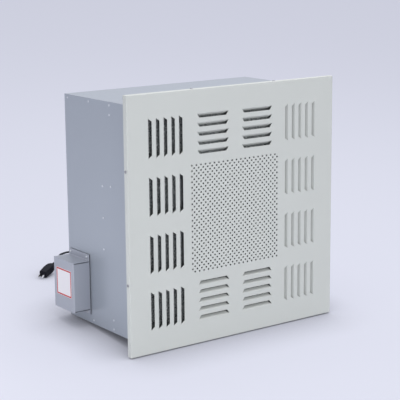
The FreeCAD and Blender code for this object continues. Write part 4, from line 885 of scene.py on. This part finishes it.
def shelf_outline(level, inward):
    """Section of one shelf: the strip on the plate, the bend and the shelf, whose outer side lies at
    that level. Inward is -1 for the upper shelf and 1 for the lower one."""
    turn = np.linspace(0, math.pi / 2, 6)
    middle = np.array([plate_out - box_bend, level - inward * box_bend])
    bend_by = middle + box_bend * np.stack([np.cos(turn), inward * np.sin(turn)], -1)
    foot = plate_out + 0.0002
    inner = level + inward * box_sheet
    return np.concatenate([[(foot, middle[1])], bend_by, [(face_in, level), (face_in, inner), (foot, inner)]])


plate = [(plate_in, plate_low), (plate_out, plate_low), (plate_out, plate_high), (plate_in, plate_high)]
plate = np.array(plate)
base_grids = [swept(plate, box_front, box_back, "Y")]
for level, inward in ((box_high, -1), (box_low, 1)):
    base_grids.append(swept(shelf_outline(level, inward), box_front, box_back, "Y"))
box_base = skin("control_box_base_sheet", base_grids)
dress(box_base, box_coat, "unit", "box_coat", "control_box_base")
softened(box_base, 0.0003)


def cover_outline(wall_end):
    """The cover's section seen from above: the face with a round bend at each corner, and the two walls
    up to the given place."""
    turn = np.linspace(0, math.pi / 2, 7)
    sides = []
    for face, near, far, radius in (
        (face_out, box_front, box_back, box_bend),
        (face_in, box_front + box_sheet, box_back - box_sheet, box_bend - box_sheet),
    ):
        first = np.stack([face + radius * (1 - np.sin(turn)), near + radius * (1 - np.cos(turn))], -1)
        last = np.stack([face + radius * (1 - np.cos(turn)), far - radius * (1 - np.sin(turn))], -1)
        sides.append(np.concatenate([[(wall_end, near)], first, last, [(wall_end, far)]]))
    return np.concatenate([sides[0], sides[1][::-1]])


wall_gap = 0.0032
low_gap, high_gap = box_low + wall_gap, box_high - wall_gap
face_only = cover_outline(face_out + box_bend + 0.0001)
cover_grids = [
    swept(cover_outline(plate_out), low_gap, high_gap, "Z"),
    swept(face_only, box_low - 0.0005, low_gap, "Z"),
    swept(face_only, high_gap, box_high + 0.0005, "Z"),
]
box_cover = skin("control_box_cover_sheet", cover_grids)
dress(box_cover, box_coat, "unit", "box_coat", "control_box_cover")
tab_places = [(0.235, -0.1225), (0.316, -0.1225), (0.235, -0.2715), (0.316, -0.2715)]
tab_heads = []
for number, (y, z) in enumerate(tab_places):
    seat = Matrix.Translation((plate_out, y, z)) @ Matrix.Rotation(-math.pi / 2, 4, "Y")
    tab_heads.append(placed(pan_head(0.0035, 0.0022), seat @ Matrix.Rotation(0.7 * number, 4, "Z")))
box_screws = skin("box_screw_heads", tab_heads)
dress(box_screws, zinc, "unit", "dark_screws", "box_screws")
repaint(dark_steel, "clip_screws")
terminal_plastic = finish_of("terminal_plastic", (0.52, 0.50, 0.42), 0.5)
repaint(terminal_plastic, "terminal_block")
capacitor_plastic = finish_of("capacitor_plastic", (0.70, 0.70, 0.68), 0.25)
repaint(capacitor_plastic, "capacitor")
repaint(cord_rubber, "wall_grommet")

# Label: a thin bare sticker with rounded corners on the control box's face. It is white, with a red band
# just inside its edge.
label_low, label_high = -0.229, -0.155
label_front, label_back = 0.235, 0.311
label_face = -0.3512
label_corner = 0.003
band_inside, band_half = 0.0029, 0.0020


def rounded_plate(half_wide, half_high, radius):
    """A rectangle's outline with rounded corners, anticlockwise."""
    turn = np.linspace(0, math.pi / 2, 6)
    quarter = np.stack([np.cos(turn), np.sin(turn)], -1) * radius
    signs = [(1, 1), (-1, 1), (-1, -1), (1, -1)]
    parts = []
    for k, (across, upward) in enumerate(signs):
        arc = quarter if k % 2 == 0 else quarter[::-1]
        centre = np.array([across * (half_wide - radius), upward * (half_high - radius)])
        parts.append(arc * (across, upward) + centre)
    return np.concatenate(parts)


label_edge = rounded_plate((label_back - label_front) / 2, (label_high - label_low) / 2, label_corner)
label_edge += np.array([(label_front + label_back) / 2, (label_low + label_high) / 2])
label_grid = np.zeros((2, len(label_edge), 3))
label_grid[..., 1:] = label_edge
label_grid[0, :, 0] = label_face + 0.0002
label_grid[1, :, 0] = label_face
label = skin("label", [label_grid])
label_paint = bpy.data.materials.new("label_paint")
label_paint.use_nodes = True
nodes, links = label_paint.node_tree.nodes, label_paint.node_tree.links
shader = nodes["Principled BSDF"]
shader.inputs["Roughness"].default_value = 0.35
place = nodes.new("ShaderNodeTexCoord")
apart = nodes.new("ShaderNodeSeparateXYZ")
links.new(place.outputs["Object"], apart.inputs["Vector"])
beyond = []
for axis, low, high in (("Y", label_front, label_back), ("Z", label_low, label_high)):
    centred = nodes.new("ShaderNodeMath")
    centred.operation = "SUBTRACT"
    centred.inputs[1].default_value = (low + high) / 2
    links.new(apart.outputs[axis], centred.inputs[0])
    size = nodes.new("ShaderNodeMath")
    size.operation = "ABSOLUTE"
    links.new(centred.outputs[0], size.inputs[0])
    past = nodes.new("ShaderNodeMath")
    past.operation = "SUBTRACT"
    past.inputs[1].default_value = (high - low) / 2
    links.new(size.outputs[0], past.inputs[0])
    beyond.append(past)
nearest = nodes.new("ShaderNodeMath")
nearest.operation = "MAXIMUM"
links.new(beyond[0].outputs[0], nearest.inputs[0])
links.new(beyond[1].outputs[0], nearest.inputs[1])
band = nodes.new("ShaderNodeMath")
band.operation = "COMPARE"
band.inputs[1].default_value = -band_inside
band.inputs[2].default_value = band_half
links.new(nearest.outputs[0], band.inputs[0])
ink = nodes.new("ShaderNodeMix")
ink.data_type = "RGBA"
ink.inputs["A"].default_value = (0.80, 0.78, 0.80, 1)
ink.inputs["B"].default_value = (0.52, 0.035, 0.035, 1)
links.new(band.outputs[0], ink.inputs["Factor"])
links.new(ink.outputs["Result"], shader.inputs["Base Color"])
dress(label, label_paint, "unit", "box_coat")
